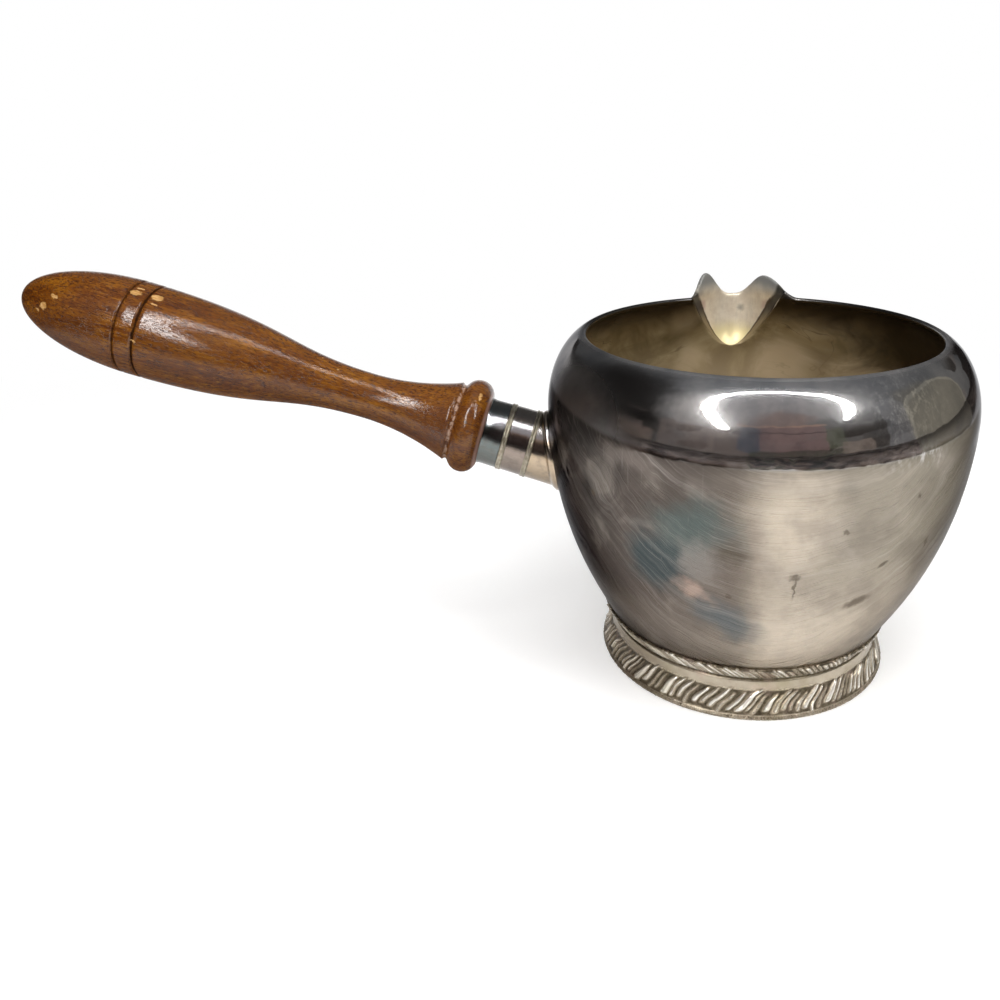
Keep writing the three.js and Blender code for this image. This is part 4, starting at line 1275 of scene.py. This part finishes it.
def add_floor():
    """A pale floor with a low backdrop. It is dark behind the camera and beside the picture."""
    bend = np.radians([20, 40, 60, 80, 90])
    across = np.linspace(-FLOOR_HALF_WIDTH, FLOOR_HALF_WIDTH, 9)
    flat = np.linspace(FLOOR_FRONT, FLOOR_BACK, 9)
    along = np.concatenate([flat, FLOOR_BACK + FLOOR_BEND * np.sin(bend), [FLOOR_BACK + FLOOR_BEND]])
    lift = np.concatenate([0 * flat, FLOOR_BEND - FLOOR_BEND * np.cos(bend), [BACKDROP_TOP]])
    material, n = new_material("studio_floor")
    at = n.place()
    x, y, z = n.split(at)
    reach = n.sum(y, 190.0)
    left = n.span(n.sum(x, n.mul(reach, 0.78)), -190.0, -60.0)
    right = n.span(n.sum(n.mul(x, -1.0), n.mul(reach, 0.44)), -190.0, -60.0)
    wedge = n.mul(n.mul(left, right), n.span(y, -150.0, 40.0))
    table_reach = n.length(n.join(x, y, 0.0))
    pale = n.larger(wedge, n.span(table_reach, 345.0, 328.0))
    far = n.span(n.length(n.join(n.mul(n.sum(x, 40.0), 0.75), y, z)), 120.0, 330.0)
    lit = n.mix(far, (0.8, 0.8, 0.8), (0.0, 0.0, 0.0))

    # Dark things round the pale part, which the polished shoulder shows above the table's edge
    ring = n.math("LOGARITHM", n.sum(table_reach, 1.0), math.e)
    turned = n.math("ARCTAN2", x, n.mul(y, -1.0))
    thing = n.streaks((turned, ring, 0.0), (5.0, 1.6, 1.0), 3, 0.55, 0.6)
    clutter = n.ramp(thing, [
        (0.38, (0.01, 0.01, 0.01)), (0.46, (0.06, 0.05, 0.048)), (0.5, (0.2, 0.15, 0.135)),
        (0.56, (0.04, 0.05, 0.03)), (0.62, (0.3, 0.27, 0.24)),
    ])
    brown = n.ramp(thing, [
        (0.38, (0.05, 0.04, 0.036)), (0.5, (0.17, 0.135, 0.122)), (0.62, (0.26, 0.22, 0.2)),
    ])
    dark = n.mix(n.span(n.away(turned, 0.17), 0.42, 0.3), brown, clutter)
    dark = n.mix(n.span(n.away(turned, 1.7), 0.4, 0.36), dark, (0.26, 0.24, 0.2))
    diffuse = n.add("ShaderNodeBsdfDiffuse", {"Color": n.mix(pale, dark, lit)})
    rays = n.tree.nodes.new("ShaderNodeLightPath").outputs
    seen = n.larger(n.larger(rays["Is Camera Ray"], rays["Is Glossy Ray"]), rays["Is Transmission Ray"])
    white = n.span(far, 0.0, 1.0, 0.34, 1.0, smooth=False)
    strength = n.mul(n.mul(seen, pale), white)
    glow = n.add("ShaderNodeEmission", {"Color": (1.0, 1.0, 1.0), "Strength": strength})
    n.surface(n.add("ShaderNodeAddShader", {0: diffuse, 1: glow}))
    points = np.stack(np.broadcast_arrays(across, along[:, None], lift[:, None]), -1)
    add_stage("studio_floor", points, material)


def add_ring_lamp():
    """A ring lamp in front of and above the bowl, open at the bottom."""
    centre, aim = np.array(RING_CENTRE), np.array(RING_AIM)
    ahead = (aim - centre) / np.linalg.norm(aim - centre)
    side = np.cross(ahead, UP)
    side /= np.linalg.norm(side)
    turn = np.radians(np.linspace(*RING_ENDS, RING_COLUMNS))[None]
    swell = step(np.abs(turn), math.radians(15), math.radians(85))
    breadth = RING_TOP_BREADTH + (RING_SIDE_BREADTH - RING_TOP_BREADTH) * swell
    tip = step(np.minimum(turn - turn.min(), turn.max() - turn), 0.0, 0.3)
    radius = RING_RADIUS + np.array([[-0.5], [0.5]]) * breadth * (0.4 + 0.6 * tip)
    across, over = (radius * np.sin(turn))[..., None], (radius * np.cos(turn))[..., None]
    material, n = new_material("ring_lamp")
    n.surface(n.add("ShaderNodeEmission", {"Color": (1.0, 0.99, 0.98), "Strength": RING_STRENGTH}))
    lamp = add_stage("ring_lamp", centre + across * side + over * np.cross(side, ahead), material)
    lamp.visible_camera = False


def add_softbox(name, at, aim, size, power):
    """A large soft lamp that fills the shadows and isn't mirrored in the metal."""
    data = bpy.data.lights.new(name, "AREA")
    data.shape = "DISK"
    data.size = size * MM
    data.energy = power
    lamp = bpy.data.objects.new(name, data)
    bpy.context.collection.objects.link(lamp)
    lamp.location = place(at)
    lamp.rotation_euler = (Vector(aim) - Vector(at)).to_track_quat("-Z", "Y").to_euler()
    lamp.visible_glossy = False
    lamp.visible_camera = False


def add_world():
    """A dim room: darker at the left, lighter in front and overhead."""
    world = bpy.data.worlds.new("studio")
    bpy.context.scene.world = world
    world.use_nodes = True
    n = Nodes(world.node_tree)
    way = n.add("ShaderNodeTexCoord", output="Generated")
    x, y, z = n.split(way)
    soft = n.noise(way, 3.0, 3, 0.5)
    colour = n.ramp(n.span(z, -0.2, 1.0, smooth=False), [
        (0.0, (0.1, 0.095, 0.09)), (0.2, (0.12, 0.11, 0.105)), (0.6, (0.13, 0.13, 0.13)),
        (1.0, (0.22, 0.225, 0.235)),
    ])
    for azimuth, elevation, inner, outer, level, amount in ROOM_GLOWS:
        turn, up = math.radians(azimuth), math.radians(elevation)
        axis = (math.sin(turn) * math.cos(up), -math.cos(turn) * math.cos(up), math.sin(up))
        near = n.wobble(n.dot(way, axis), soft, 0.12)
        mask = n.span(near, math.cos(math.radians(outer)), math.cos(math.radians(inner)))
        colour = n.tint(colour, level, mask, amount)

    # Furniture and a lit doorway, which the polished shoulder shows above the table's edge
    turned = n.math("ARCTAN2", x, n.mul(y, -1.0))
    raised = n.math("ARCSINE", z)
    cells = n.add("ShaderNodeTexVoronoi", {
        "Vector": n.join(n.mul(turned, 3.6), n.mul(raised, 7.5), 0.0), "Scale": 1.0, "Randomness": 0.75,
    }, output=1, distance="CHEBYCHEV", feature="F1", voronoi_dimensions="2D")
    cell = n.split(cells)[0]
    band = n.mul(n.span(raised, -0.1, 0.02), n.span(raised, 0.46, 0.28))
    dim = n.mix(1.0, colour, (0.25, 0.22, 0.2), "MULTIPLY")
    colour = n.tint(colour, dim, band, n.span(cell, 0.55, 0.7))
    colour = n.tint(colour, (0.24, 0.2, 0.18), band, n.span(cell, 0.2, 0.12, 0.0, 0.5))
    unsteady = n.noise(way, 9.0, 3, 0.6)
    sideways, upwards = n.wobble(turned, unsteady, 0.05), n.wobble(raised, unsteady, 0.05)

    def block(azimuth, elevation, half_width, half_height, edge=0.12, power=8.0):
        """A mask with rounded corners in the room, in degrees from the front and from level."""
        far = 0.0
        for value, middle, half in ((sideways, azimuth, half_width), (upwards, elevation, half_height)):
            share = n.mul(n.away(value, math.radians(middle)), 1 / math.radians(half))
            far = n.sum(far, n.math("POWER", share, power))
        return n.span(far, 1 + edge * power / 2, 1 - edge)

    stripes = n.span(n.streaks((turned, raised, 0.0), (30.0, 9.0, 1.0), 3, 0.6), 0.3, 0.6, 0.6, 1.0)
    for *shape, level, amount in ROOM_BLOCKS:
        colour = n.tint(colour, level, n.mul(block(*shape), stripes), amount)
    for elevation, half_height, level in ((27, 0.8, (0.4, 0.26, 0.2)), (20.5, 0.5, (0.05, 0.04, 0.04))):
        colour = n.tint(colour, level, block(6, elevation, 24, half_height), 0.7)
    colour = n.mix(block(97, 5, 22, 27, 0.05, 3.5), colour, (0.32, 0.3, 0.25))
    colour = n.tint(colour, (0.2, 0.185, 0.15), block(97, 3, 20.5, 26, 0.05, 3.5), 0.8)
    background = n.add("ShaderNodeBackground", {"Color": colour, "Strength": 1.0})
    n.surface(background, "ShaderNodeOutputWorld")


# The scene

socket_silver, ring_silver = silver_socket(), silver_rings()
add_camera()
add_bowl(silver_outside(), silver_inside())
add_lip(silver_lip())
add_foot(silver_foot())
add_wall_plate(socket_silver)
add_socket(socket_silver)
add_double_ring("wire_ring_front", front_ring, ring_silver, ["socket_ring_front"])
add_double_ring("wire_ring_rear", rear_ring, ring_silver, ["socket_ring_rear"])
add_ferrule(socket_silver)
add_wood(varnished_wood())
for node, finish in (
    ("socket_boss", turned_metal("boss_brass", (0.42, 0.3, 0.13), (0.6, 0.46, 0.22), 0.3)),
    ("tang_stud", turned_metal("stud_steel", (0.3, 0.3, 0.3), (0.45, 0.45, 0.46), 0.3)),
):
    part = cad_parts[node]
    part.data.materials.clear()
    part.data.materials.append(finish)
add_floor()
add_ring_lamp()
add_softbox("softbox_top", (60, 40, 900), (-20, 0, 30), 700, 3.4)
add_softbox("softbox_left", (-620, -420, 520), (-20, 0, 40), 420, 0.6)
add_softbox("softbox_right", (560, -380, 420), (0, 0, 40), 420, 0.6)
add_world()
bpy.context.scene.view_settings.view_transform = "Standard"
